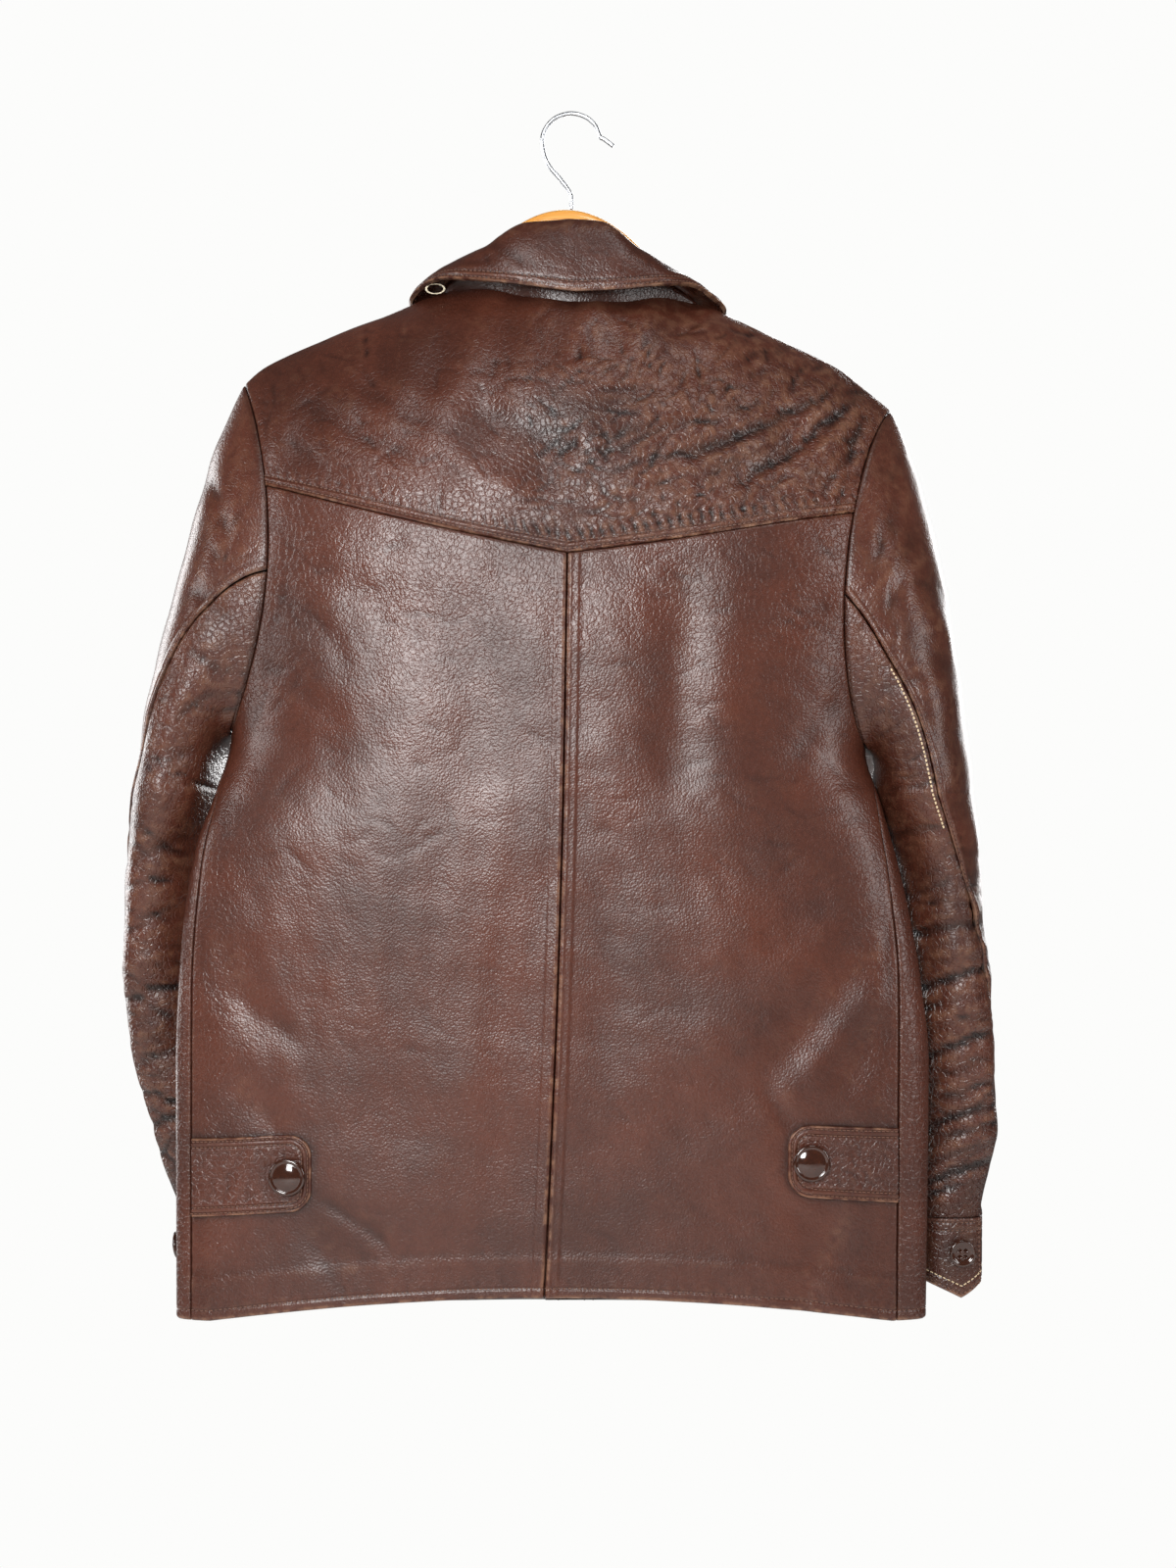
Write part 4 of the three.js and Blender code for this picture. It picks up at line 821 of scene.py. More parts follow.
# A front: rows run from the armhole or side seam round the edge to the buttoned opening, and the
# rows bend from the shoulder and neckline at the top to the level hem.
def makeFront(name):
    arm = armholes[name]
    side, hem = arm["side"], backs["hemDrop"]
    u, v = places(300, 5.2, (5, 10)), places(640, 5.2, (5, 9))[:, None]
    column = u[None] * 14
    seamX = shoulderSeamX(arm, column / 5)
    neckEnd = math.pi + math.asin(fronts["lap"] / (neck["halfWidth"] + neck["frontEase"]))
    neckX, neckDrop = neckPlace(side * mix(neckCornerTurn, neckEnd, np.clip((column - 5) / 9, 0, 1)))
    topX = np.where(column < 5, seamX, neckX)
    topDrop = np.where(column < 5, shoulderDrop(seamX) + neck["seamBelow"] + seamGap, neckDrop)
    spread = (topX - topX[0, 0]) / (topX[0, -1] - topX[0, 0])
    outerTop, innerTop = topDrop[0, 0], topDrop[0, -1]
    endDrop, innerDrop = mix(outerTop, hem, v), mix(innerTop, hem, v)
    endX = outerEndX(name, endDrop)
    start = np.where(endDrop > arm["underarm"][1], backAngle(endX, endDrop) + side * 0.003,
                     frontAngle(endX, endDrop, side))
    stop = frontAngle(-side * fronts["lap"], innerDrop, side)
    fade = (1 - v) ** 3
    place = mix(u, spread, fade)
    level = np.maximum(endDrop, innerTop)
    angle = alongLevel(start, stop, level, place)
    hemRise = v**4 * (hem - hemAt(trunkAround(angle, np.full_like(angle, hem))[..., 0], fronts["hemRise"]))
    drop = mix(endDrop, innerDrop, place) + (topDrop - mix(outerTop, innerTop, place)) * fade
    drop = drop - hemRise * np.minimum(1, 4 * place)
    straight = frontAngle(mix(endX, -side * fronts["lap"], spread), drop, side)
    angle = mix(straight, angle, share(v, 0.03, 0.25))
    panel = panelOf(trunkAround(angle, drop), (0, 1, 0))
    opening, foot = panel["fromEnd"], panel["fromFoot"]
    small = scatteredCreases(81 + side, 120, (-230, 200, 230, 810), 4, 40, (12, 40), (1.6, 3.4), (0.08, 0.3))
    drags = [(side * 205, 250, side * 120, 330, 9, 1.2, 0), (side * 195, 330, side * 120, 400, 9, 1.0, 0),
             (side * 170, 520, side * 150, 700, 16, 1.6, 0), (side * 90, 560, side * 70, 760, 18, 1.4, 0),
             (side * 40, 300, side * 90, 380, 10, 0.9, 0), (side * 40, 450, side * 110, 520, 10, 0.9, 0)]
    inside = share(panel["fromStart"], 3, 14) * share(panel["normal"][..., 1], 0.1, 0.5)
    relief = -creaseField(panel["x"], panel["drop"], [*drags, *small]) * inside
    relief += 0.4 * slowWaves(91 + side, panel["x"], panel["drop"], 80) * inside
    for row in fronts["stitchRows"]:
        relief += stitchGroove(opening, row, 0.45)
    relief += edgeRoll(opening, 0.9, 2.2) + edgeRoll(foot, 1.4, 2.4)
    relief += edgeRoll(panel["fromStart"], 1.1, 2.6)
    relief += edgeRoll(panel["fromTop"], 0.8, 2.2) + stitchGroove(foot, backs["hemStitch"], 0.5)
    if name == "left":
        relief += lapAt(panel["x"])
    crinkle = 0.1 + 0.25 * (1 - share(panel["fromStart"], 20, 60))
    wear = 0.45 * hump(foot, 0, 2) + 0.4 * hump(opening, 0, 1.6)
    piece = "front" + name.capitalize()
    leatherPiece(piece, "front_" + name, panel, relief, leather, crinkle, wear)
    sewRow(*lineOnPanel(panel, "fromFoot", backs["hemStitch"]), pitch=3.6)
    for row in fronts["stitchRows"]:
        sewRow(*lineOnPanel(panel, "fromEnd", row), pitch=4.0)
    return panel


frontPanels = {name: makeFront(name) for name in armholes}
print("fronts made")


# Sleeves: level ovals below the underarm whose long axis swings outwards as the forearm turns
# forward, and a cap above them on quadratic curves from the armhole.
sleeves = {
    "left": {
        "capSlope": 0.16,
        "outerX": curveThrough([[470, -302.5], [540, -308.5], [600, -311], [635, -308], [703, -294],
                                [764, -276], [825, -268]]),
        "long": curveThrough([[470, 68], [600, 60], [764, 56], [825, 56]]),
        "short": curveThrough([[470, 30], [600, 29], [764, 24], [825, 24]]),
        "swing": curveThrough([[470, 12], [600, 38], [764, 70], [825, 72]]),
        "centreY": curveThrough([[470, 17], [520, 25], [600, 32], [764, 44], [825, 46]]),
        "rearSeam": [[0.4, 86], [1, 50], [1.35, 22], [2, 10]],
        "frontSeam": [[1, 215], [2, 175]],
        "creases": [
            (-303, 520, -255, 498, 5, 1.0, 2), (-306, 566, -268, 552, 5, 1.2, 2), (-306, 614, -264, 602, 5, 1.4, 2),
            (-303, 660, -262, 646, 5, 1.4, 2), (-296, 704, -262, 690, 4.5, 1.2, 1), (-304, 590, -270, 578, 4, -0.8, 1),
            (-302, 638, -266, 626, 4, -0.9, 1), (-258, 330, -232, 352, 6, 0.9, 0), (-262, 372, -236, 388, 5, 0.8, 0),
            (-250, 250, -232, 300, 6, 0.9, 0), (-292, 452, -250, 440, 6, 0.8, 2), (-268, 420, -240, 400, 4, 0.8, 1),
        ],
    },
    "right": {
        "capSlope": 0.1,
        "outerX": curveThrough([[470, 278], [532, 284], [600, 290], [668, 294], [702, 297], [730, 292],
                                [764, 287], [825, 287]]),
        "long": curveThrough([[470, 67], [600, 61], [764, 52], [825, 52]]),
        "short": curveThrough([[470, 35.5], [532, 33], [600, 33], [764, 29], [825, 29]]),
        "swing": curveThrough([[470, 6], [600, 22], [764, 50], [825, 52]]),
        "centreY": curveThrough([[470, 12], [532, 22], [600, 26], [764, 36], [825, 38]]),
        "rearSeam": [[0.4, 104], [1, 92], [1.55, 55], [2, 42]],
        "frontSeam": [[1, 240], [2, 205]],
        "creases": [
            (219, 573, 285, 558, 5, 1.4, 3), (226, 611, 292, 589, 5, 1.7, 3), (236, 658, 295, 634, 5, 1.6, 3),
            (246, 702, 293, 685, 4.5, 1.4, 2), (248, 740, 291, 726, 4, 1.4, 2), (224, 592, 288, 574, 4.5, -1.0, 3),
            (230, 634, 292, 612, 4.5, -1.1, 3), (242, 680, 292, 660, 4.5, -1.0, 2), (246, 722, 290, 706, 4, -0.9, 2),
            (226, 262, 206, 318, 6, 1.0, 0), (236, 290, 214, 352, 6, 0.9, 0), (208, 400, 240, 392, 4, 0.6, 0),
            (262, 470, 278, 520, 9, 0.9, 0), (214, 470, 246, 462, 4, 0.7, 1), (220, 500, 252, 494, 4, 0.7, 1),
        ],
    },
}
sleeveCut = {
    "capEnd": 470, "sleeveEnd": 764, "cuffEnd": 812, "tension": 0.8, "fullness": 10, "seamStitch": 2.3,
}
for name, arm in armholes.items():
    sleeves[name]["arm"] = arm


# A level of the sleeve: an oval turned by the swing, set so that its outermost point is on the
# outline. Turn 0 points outwards and a quarter turn to the rear.
def sleeveRing(sleeve, turn, drop):
    long, short, swing = sleeve["long"](drop), sleeve["short"](drop), np.radians(sleeve["swing"](drop))
    halfAcross = np.hypot(short * np.cos(swing), long * np.sin(swing))
    outwards = short * np.cos(turn) * np.cos(swing) + long * np.sin(turn) * np.sin(swing)
    rearwards = long * np.sin(turn) * np.cos(swing) - short * np.cos(turn) * np.sin(swing)
    x = sleeve["outerX"](drop) + sleeve["arm"]["side"] * (outwards - halfAcross)
    return stack(x, sleeve["centreY"](drop) - rearwards, -drop)


# A point of the sleeve: way 0 to 1 is the cap, a quadratic curve from the armhole to the level
# ring; way 1 to 2 the arm down to the cuff.
def sleeveAt(sleeve, turn, way):
    arm = sleeve["arm"]
    low = sleeveRing(sleeve, turn, mix(sleeveCut["capEnd"], sleeveCut["sleeveEnd"], np.maximum(0, way - 1)))
    angle, drop = armholeAngle(arm, turn)
    start, normal = trunkAround(angle, drop), trunkNormal(angle, drop)
    end = sleeveRing(sleeve, turn, np.full_like(turn, sleeveCut["capEnd"]))
    rise = sleeveCut["tension"] * (start[..., 2] - end[..., 2])
    bend = end + stack(-arm["side"] * sleeve["capSlope"] * rise, 0 * rise, rise)
    bend = bend + normal * (sleeveCut["fullness"] * np.sin(turn / 2) ** 6)[..., None]
    w = np.clip(way, 0, 1)[..., None]
    cap = start * (1 - w) ** 2 + bend * 2 * w * (1 - w) + end * w**2
    # The first rows stand a seam's width into the armhole
    along = trunkAround(*armholeAngle(arm, turn + 0.01)) - trunkAround(*armholeAngle(arm, turn - 0.01))
    middle = np.array([(arm["shoulder"][0] + arm["underarm"][0]) / 2 + arm["side"] * arm["inset"], 0,
                       -(arm["shoulder"][1] + arm["underarm"][1]) / 2])
    into = unit(np.cross(along, normal))
    into = into * np.sign((into * (middle - start)).sum(-1, keepdims=True))
    gap = seamGap * (1.3 + 1.4 * np.sin(turn / 2) ** 6) * (1 - share(way, 0, 0.05))
    cap = cap + into * gap[..., None]
    return np.where(way[..., None] < 1, cap, low), normal


def makeSleeve(name):
    sleeve = sleeves[name]
    arm = sleeve["arm"]
    side = arm["side"]
    rearStart = math.degrees(mix(arm["yokeTurn"], math.pi, 0.25))
    frontStart = 360 - math.degrees(mix(arm["seamTurn"], math.pi, 0.5))
    rearCurve = curveThrough([[0, rearStart], *sleeve["rearSeam"]])
    frontCurve = curveThrough([[0, frontStart], *sleeve["frontSeam"]])
    way = np.concatenate([places(220, 2.5, (5, 0.01))[:-1], 1 + places(294, 2.5, (0.01, 8))[1:]])[:, None]
    rear, front = np.radians(rearCurve(way)), np.radians(frontCurve(way))
    panels = {}
    for part, start, stop, wide in (("Top", front - 2 * math.pi, rear, 185), ("Under", rear, front, 140)):
        u = places(wide, 2.5, (8, 8))
        turn = mix(start + 0.004, stop - 0.004, u)
        points, trunkSide = sleeveAt(sleeve, turn, np.broadcast_to(way, turn.shape))
        level = np.clip(-points[..., 2], sleeveCut["capEnd"], sleeveCut["sleeveEnd"])
        ringMiddle = (sleeveRing(sleeve, turn, level) + sleeveRing(sleeve, turn + math.pi, level)) / 2
        panel = panelOf(points, points - ringMiddle)
        alike = share((panel["normal"] * trunkSide).sum(-1), -0.2, 0.3) * (1 - share(way, 0, 0.06))
        panel["normal"] = unit(mix(panel["normal"], trunkSide, alike[..., None]))
        x, drop = panel["x"], panel["drop"]
        facing = share(-panel["normal"][..., 1], 0.05, 0.45)
        rearEdge = panel["fromEnd"] if part == "Top" else panel["fromStart"]
        frontEdge = panel["fromStart"] if part == "Top" else panel["fromEnd"]
        low, high = (-312, -225) if side < 0 else (200, 298)
        seed = 100 + 10 * side + (5 if part == "Under" else 0)
        elbow = scatteredCreases(seed, 70, (low, 500, high, 760), -14 * side, 22, (14, 42),
                                 (1.6, 3.4), (0.4, 1.1))
        upper = scatteredCreases(seed + 1, 50, (low, 230, high, 500), 60 * side, 40, (10, 34),
                                 (1.4, 3.0), (0.15, 0.5))
        cross = scatteredCreases(seed + 2, 90, (low, 380, high, 700), -10 * side, 16, (8, 22),
                                 (1.1, 2.0), (0.25, 0.75))
        hidden = scatteredCreases(seed + 3, 60, (-70, 480, 130, 760), 6, 24, (20, 60), (2, 4), (0.3, 0.9))
        relief = -(1.5 * creaseField(x, drop, sleeve["creases"]) + creaseField(x, drop, elbow)) * facing
        relief -= creaseField(x, drop, upper) * facing
        if part == "Under":
            relief -= creaseField(x, drop, cross) * facing
        relief -= creaseField(panel["points"][..., 1], drop, hidden) * (1 - facing)
        relief += 0.9 * slowWaves(seed + 4, x + panel["points"][..., 1], drop, 60) * share(way, 0.1, 0.4)
        relief = relief * share(way, 0.0, 0.06) * share(2 - way, 0.0, 0.03)
        # Rear seam: the top sleeve laps over the under sleeve and is stitched down
        if part == "Top":
            relief = relief + 0.55 * (1 - share(rearEdge, 4.5, 7))
            relief += stitchGroove(rearEdge, sleeveCut["seamStitch"], 0.55)
            relief += edgeRoll(rearEdge, 1.0, 1.4)
        else:
            relief = relief + edgeRoll(rearEdge, 1.4, 3.4)
        relief += edgeRoll(frontEdge, 1.0, 2.4) + edgeRoll(panel["fromTop"], 1.1, 3.0)
        crinkle = (0.14 if part == "Top" else 0.38) + 0.3 * share(way, 1.2, 1.9)
        wear = 0.35 * hump(rearEdge, 0, 1.4) + 0.06
        # Painted shade: darker towards the cuff on the lower sleeve, along the armhole seam, and along the rear seam,
        # most on the under sleeve below the top sleeve's lap
        paintedShade = 0.45 * share(way, 1.55, 1.95) + 0.5 * hump(panel["fromTop"], 0, 3)
        paintedShade = paintedShade + (0.6 if part == "Under" else 0.2) * hump(rearEdge, 0, 2)
        piece = "sleeve" + name.capitalize() + part
        leatherPiece(piece, f"sleeve_{name}_{part.lower()}", panel, relief, leather,
                     crinkle, wear, paintedShade)
        panels[part] = panel
    line, normals = lineOnPanel(panels["Top"], "fromEnd", sleeveCut["seamStitch"])
    sewRow(line, normals, pitch=3.2)
    if name == "right":  # the pale holding stitches that show where this seam gapes
        edge, edgeNormals = lineOnPanel(panels["Under"], "fromStart", 3.4)
        gape = (edge[:, 2] < -385) & (edge[:, 2] > -495)
        sewRow(edge[gape], edgeNormals[gape], pitch=3.0, thread="tan", size=0.6, length=2.2)
    return panels


sleevePanels = {name: makeSleeve(name) for name in sleeves}
print("sleeves made")


# Closed bodies through rings of points. The ends are closed with a fan to their middles, or the
# last ring joins the first one.
def ringBody(rings, closed=False):
    count, around = rings.shape[:2]
    number = np.arange(count * around).reshape(count, around)
    following = np.roll(number, -1, axis=1)
    first, second = (number, np.roll(number, -1, axis=0)) if closed else (number[:-1], number[1:])
    quads = np.stack([first, np.roll(first, -1, 1), np.roll(second, -1, 1), second], -1).reshape(-1, 4)
    points = rings.reshape(-1, 3)
    if closed:
        return points, [quads]
    middles = np.stack([rings[0].mean(0), rings[-1].mean(0)])
    a, b = np.full(around, count * around), np.full(around, count * around + 1)
    firstCap = np.stack([a, following[0], number[0]], -1)
    caps = np.concatenate([firstCap, np.stack([b, number[-1], following[-1]], -1)])
    return np.concatenate([points, middles]), [quads, caps]


# A tube of one or several radii along a path: the profile is a circle square to the path.
def tubeRings(path, radius, around, lean=(0, 1, 0)):
    heading = unit(np.gradient(path, axis=0))
    side = unit(np.cross(heading, lean))
    rise = np.cross(side, heading)
    turn = np.arange(around) * 2 * math.pi / around
    circle = side[:, None] * np.cos(turn)[:, None] + rise[:, None] * np.sin(turn)[:, None]
    return path[:, None] + circle * np.broadcast_to(radius, len(path))[:, None, None]


# A path through a few points: Catmull-Rom pieces, each a cubic of its four nearest points.
def smoothPath(points, steps=12):
    p = np.array(points, float)
    p = np.concatenate([2 * p[:1] - p[1:2], p, 2 * p[-1:] - p[-2:-1]])
    t = (np.arange(steps) / steps)[:, None, None]
    a, b, c, d = p[:-3], p[1:-2], p[2:-1], p[3:]
    bent = (2 * a - 5 * b + 4 * c - d) * t**2 + (3 * b - a - 3 * c + d) * t**3
    curve = 0.5 * (2 * b + (c - a) * t + bent)
    return np.concatenate([curve.swapaxes(0, 1).reshape(-1, 3), p[-2:-1]])


# Buttons: a profile of (share of the radius, height) turned round the button's axis.
buttonShapes = {
    "domed": [
        (0.32, 0), (0.32, 1.2), (0.6, 1.32), (0.8, 1.5), (0.92, 2.0), (0.98, 2.6), (1, 3.1), (0.99, 3.7),
        (0.965, 4.15), (0.92, 4.42), (0.87, 4.5), (0.82, 4.36), (0.785, 4.12), (0.76, 4.02), (0.73, 4.1),
        (0.66, 4.4), (0.55, 4.78), (0.42, 5.1), (0.28, 5.28), (0.12, 5.38), (0.02, 5.4),
    ],
    "dished": [
        (0.32, 0), (0.32, 1.2), (0.7, 1.35), (0.9, 1.7), (0.98, 2.5), (1, 3.2), (0.98, 3.9), (0.93, 4.35),
        (0.87, 4.5), (0.8, 4.4), (0.74, 4.05), (0.68, 3.7), (0.6, 3.55), (0.5, 3.5), (0.44, 3.5), (0.38, 3.5),
        (0.32, 3.5), (0.26, 3.5), (0.2, 3.5), (0.14, 3.5), (0.08, 3.5), (0.02, 3.5),
    ],
}


def makeButton(name, node, shape, diameter, place, normal, holes=False):
    radius, height = np.array(buttonShapes[shape]).T
    radius = radius * diameter / 2
    turn = np.arange(56) * 2 * math.pi / 56
    normal = unit(np.asarray(normal, float))
    side = unit(np.cross(normal, (0, 0, 1)))
    rise = np.cross(side, normal)
    across, upward = radius[:, None] * np.cos(turn), radius[:, None] * np.sin(turn)
    lift = np.broadcast_to(height[:, None], across.shape).copy()
    if holes:  # four sewing holes sunk into the dish
        pit = hump(np.abs(across), 2.1, 0.85) * hump(np.abs(upward), 2.1, 0.85)
        lift -= 2.2 * np.minimum(1, 1.3 * pit) * (height[:, None] > 3.4)
    rings = place + across[..., None] * side + upward[..., None] * rise + lift[..., None] * normal
    piece = meshObject(name, *ringBody(rings), polishedButton, sharp=60)
    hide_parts(node)
    return piece


# The trunk's point and normal at an x and drop of the back.
def backSpot(x, drop):
    angle = backAngle(np.asarray(x, float), np.asarray(drop, float))
    return trunkAround(angle, np.asarray(drop, float)), trunkNormal(angle, np.asarray(drop, float))




# A tab: drops are mixed between its upper and lower edges, which draw together along a quarter
# circle at each free corner.
def makeTab(name):
    tab, corner = tabs[name], tabs["corner"]
    length = abs(tab["freeX"] - tab["seamX"])
    straight = np.linspace(0, 1 - corner / length, 44)
    rounded = 1 - corner / length * (1 - np.sin(np.linspace(0, math.pi / 2, 26)[1:]))
    u, v = np.concatenate([straight, rounded]), places(52, 1.4, (8, 8), 0.6)[:, None]
    past = np.maximum(0, u - (1 - corner / length)) * length / corner
    rounding = corner * (1 - np.sqrt(np.maximum(0, 1 - past**2)))
    top = mix(tab["seamDrops"][0], tab["freeDrops"][0], u) + rounding
    foot = mix(tab["seamDrops"][1], tab["freeDrops"][1], u) - rounding
    x, drop = np.broadcast_arrays(mix(tab["seamX"], tab["freeX"], u), mix(top, foot, v))
    points, normals = backSpot(x, drop)
    panel = panelOf(points, (0, -1, 0))
    panel["normal"] = normals
    # Distance from the free edge, square to the outline: round each corner from its circle
    freeX = abs(tab["freeX"] - x)
    topEdge = drop - mix(tab["seamDrops"][0], tab["freeDrops"][0], u)
    footEdge = mix(tab["seamDrops"][1], tab["freeDrops"][1], u) - drop
    near = np.minimum(topEdge, footEdge)
    inCorner = (freeX < corner) & (near < corner)
    toFree = np.where(inCorner, corner - np.hypot(corner - freeX, corner - near), np.minimum(freeX, near))
    button = np.hypot(x - tab["button"][0], drop - tab["button"][1])
    side = armholes[name]["side"]
    small = scatteredCreases(130 + side, 46, (x.min(), drop.min(), x.max(), drop.max()), 60 * side, 30, (8, 26),
                             (0.9, 1.9), (0.1, 0.34))
    middle = share(toFree, 6, 10)
    relief = tabs["lift"] + tabs["thickness"] - creaseField(x, drop, small) * middle - 0.35 * middle
    relief += 0.22 * slowWaves(140 + side, x, drop, 16) * middle
    first, second = tabs["stitchRows"]
    relief += stitchGroove(toFree, first, 0.9, 0.85) + stitchGroove(toFree, second, 0.9, 0.9)
    relief += edgeRoll(toFree, 1.9, 1.9)
    relief -= 0.6 * hump(button, 0, 13)
    crinkle, wear = 0.45 * middle + 0.1, 0.4 * hump(toFree, 0.6, 1.0)
    piece = "tab" + name.capitalize()
    leatherPiece(piece, "tab_" + name, panel, relief, tabs["thickness"] - 0.1,
                 crinkle, wear)
    # Stitch rows along the outline, moved in: the upper edge, the rounded end and the lower edge
    for row in tabs["stitchRows"]:
        bend = np.linspace(0, math.pi / 2, 14)
        inner = corner - row
        straightX = np.linspace(tab["seamX"], tab["freeX"] + side * corner, 30)
        t = (straightX - tab["seamX"]) / (tab["freeX"] - tab["seamX"])
        upper = np.stack([straightX, mix(tab["seamDrops"][0], tab["freeDrops"][0], t) + row], -1)
        lower = np.stack([straightX, mix(tab["seamDrops"][1], tab["freeDrops"][1], t) - row], -1)
        centreX = tab["freeX"] + side * corner
        sine, cosine = inner * np.sin(bend), inner * np.cos(bend)
        topArc = np.stack([centreX - side * sine, tab["freeDrops"][0] + corner - cosine], -1)
        footArc = np.stack([centreX - side * cosine, tab["freeDrops"][1] - corner + sine], -1)
        route = np.concatenate([upper[:-1], topArc, footArc, lower[::-1][1:]])
        spots, spotNormals = backSpot(route[:, 0], route[:, 1])
        sewRow(spots + spotNormals * (tabs["lift"] + tabs["thickness"] - 0.35), spotNormals, pitch=3.0)
    place, normal = backSpot(*tab["button"])
    makeButton("tabButton" + name.capitalize(), "tab_button_" + name, "domed", tabs["button"],
               place + normal * (tabs["lift"] + tabs["thickness"] + tabs["buttonGap"]), normal)


for name in armholes:
    makeTab(name)
print("tabs made")


cuffs = {
    "point": 12, "pointHalf": math.radians(36), "button": 19, "lap": math.radians(48), "lapOver": 2.15,
    "stitchRows": (3.0, 8.5),
    "left": {"endTurn": math.radians(52), "buttonTurn": math.radians(79)},
    "right": {"endTurn": math.radians(88), "buttonTurn": math.radians(118)},
}


# A cuff: a strip that winds round the sleeve's oval by a full turn and a lap. The outer end is
# lifted over the inner one, and the lower edge comes down to a point under the button.
def makeCuff(name):
    sleeve, cuff = sleeves[name], cuffs[name]
    wound = 2 * math.pi + cuffs["lap"]
    u, v = places(290, 2.2, (8, 4)), places(48, 1.7, (10, 10), 0.8)[:, None]
    turn = cuff["endTurn"] + u * wound
    offButton = np.abs(np.angle(np.exp(1j * (turn - cuff["buttonTurn"]))))
    point = cuffs["point"] * np.maximum(0, 1 - offButton / cuffs["pointHalf"])
    top, foot = sleeveCut["sleeveEnd"] + seamGap, sleeveCut["cuffEnd"] - 4 + point
    drop = mix(top, foot, v)
    points = sleeveRing(sleeve, np.broadcast_to(turn, drop.shape), drop)
    middle = (points + sleeveRing(sleeve, np.broadcast_to(turn + math.pi, drop.shape), drop)) / 2
    panel = panelOf(points, points - middle)
    lifted = cuffs["lapOver"] * (1 - share(u * wound, 1.05 * cuffs["lap"], 1.9 * cuffs["lap"]))
    small = scatteredCreases(150 + sleeve["arm"]["side"], 50, (-310, 764, 300, 815), 4, 30, (6, 20),
                             (0.9, 1.8), (0.1, 0.3))
    relief = lifted - creaseField(panel["x"], panel["drop"], small) * share(panel["fromTop"], 3, 10)
    for row in cuffs["stitchRows"]:
        relief += stitchGroove(panel["fromTop"], row, 0.4) + stitchGroove(panel["fromFoot"], row, 0.4)
    relief += stitchGroove(panel["fromStart"], cuffs["stitchRows"][0], 0.4)
    relief += edgeRoll(panel["fromTop"], 0.8, 2) + edgeRoll(panel["fromFoot"], 1.2, 2)
    relief += edgeRoll(panel["fromStart"], 0.9, 1.6)
    wear = 0.5 * hump(panel["fromFoot"], 0, 1.6) + 0.35 * hump(panel["fromStart"], 0, 1.4) + 0.1
    piece = "cuff" + name.capitalize()
    # The whole cuff gets an even painted shade of 0.45
    leatherPiece(piece, "cuff_" + name, panel, relief, leather,
                 0.3, wear, 0.45)
    for row in cuffs["stitchRows"]:
        sewRow(*lineOnPanel(panel, "fromTop", row), pitch=3.2)
        pale = name == "right" and row == cuffs["stitchRows"][-1]
        sewRow(*lineOnPanel(panel, "fromFoot", row), pitch=3.2, thread="tan" if pale else "brown")
    sewRow(*lineOnPanel(panel, "fromStart", cuffs["stitchRows"][0]), pitch=3.2)
    buttonTurn = np.array(cuff["buttonTurn"])
    buttonDrop = (sleeveCut["sleeveEnd"] + sleeveCut["cuffEnd"]) / 2
    place = sleeveRing(sleeve, buttonTurn, np.array(buttonDrop))
    around = sleeveRing(sleeve, buttonTurn + 0.002, np.array(buttonDrop)) - place
    down = sleeveRing(sleeve, buttonTurn, np.array(buttonDrop + 0.1)) - place
    normal = unit(np.cross(around, down)) * sleeve["arm"]["side"]
    makeButton("cuffButton" + name.capitalize(), "cuff_button_" + name, "dished", cuffs["button"],
               place + normal * (cuffs["lapOver"] + 0.35), normal, holes=True)


for name in armholes:
    makeCuff(name)
for i, drop in enumerate((262.0, 410.0, 558.0, 706.0)):
    angle, drop = frontAngle(np.array(0.0), np.array(drop), -1), np.array(drop)
    normal = trunkNormal(angle, drop)
    makeButton(f"frontButton{i + 1}", f"front_button_{i + 1}", "domed", 25,
               trunkAround(angle, drop) + normal * (fronts["lapLift"] + 0.35), normal)
print("cuffs and buttons made")


# Collar stations: (turn in degrees, x, y, drop) of the fold and of the fall's edge on each side.
collar = {
    "leather": 2.2, "stitchRows": (2.4, 6.6), "tuck": (4.2, 3.0),
    "fold": {
        "left": [(0, -2, -36, 82.5), (22, -30, -34, 85), (42, -55, -25, 100), (64, -76, -12, 113),
                 (90, -86, 4, 121), (120, -78, 24, 133), (150, -46, 42, 165), (175, -7, 48, 184)],
        "right": [(0, -2, -36, 82.5), (18, 20, -35, 84), (38, 41, -27, 100), (62, 64, -12, 117),
                  (90, 81, 4, 129), (120, 76, 24, 140), (150, 46, 42, 169), (175, 7, 48, 187)],
    },
    "edge": {
        "left": [(0, 2, -52, 130.4), (22, -38, -50, 125), (42, -73, -41, 120.6), (56, -91, -28, 118),
                 (72, -105, -12, 121.5), (90, -113, 3, 130), (120, -106, 29, 160), (150, -76, 48, 205),
                 (175, -44, 57, 236)],
        "right": [(0, 2, -52, 130.4), (18, 34, -51, 128.8), (38, 66, -45, 124.6), (52, 84, -30, 122.4),
                  (70, 98, -13, 127.5), (90, 108, 3, 136), (120, 103, 29, 168), (150, 76, 48, 209),
                  (175, 44, 55, 238)],
    },
    "creases": [(-66, 92, -30, 112, 5, 0.7, 2), (40, 92, 80, 116, 6, 0.8, -2), (-20, 88, 10, 118, 8, 0.5, 3),
                (10, 96, 50, 104, 6, 0.5, 1), (-50, 104, -84, 116, 4, 0.6, 0), (60, 104, 92, 122, 4, 0.6, 0)],
}
collarCurves = {
    line: {side: [curveThrough([(row[0], row[i]) for row in stations]) for i in (1, 2, 3)]
           for side, stations in collar[line].items()}
    for line in ("fold", "edge")
}


def collarPoint(line, degrees):
    turn = np.abs(degrees)
    pairs = zip(collarCurves[line]["left"], collarCurves[line]["right"])
    x, y, drop = (np.where(degrees < 0, left(turn), right(turn)) for left, right in pairs)
    return stack(x, y, -drop)


def awayFromNeck(degrees):  # level, square to the fold
    along = collarPoint("fold", degrees + 3) - collarPoint("fold", degrees - 3)
    return unit(stack(along[..., 1], -along[..., 0], 0))


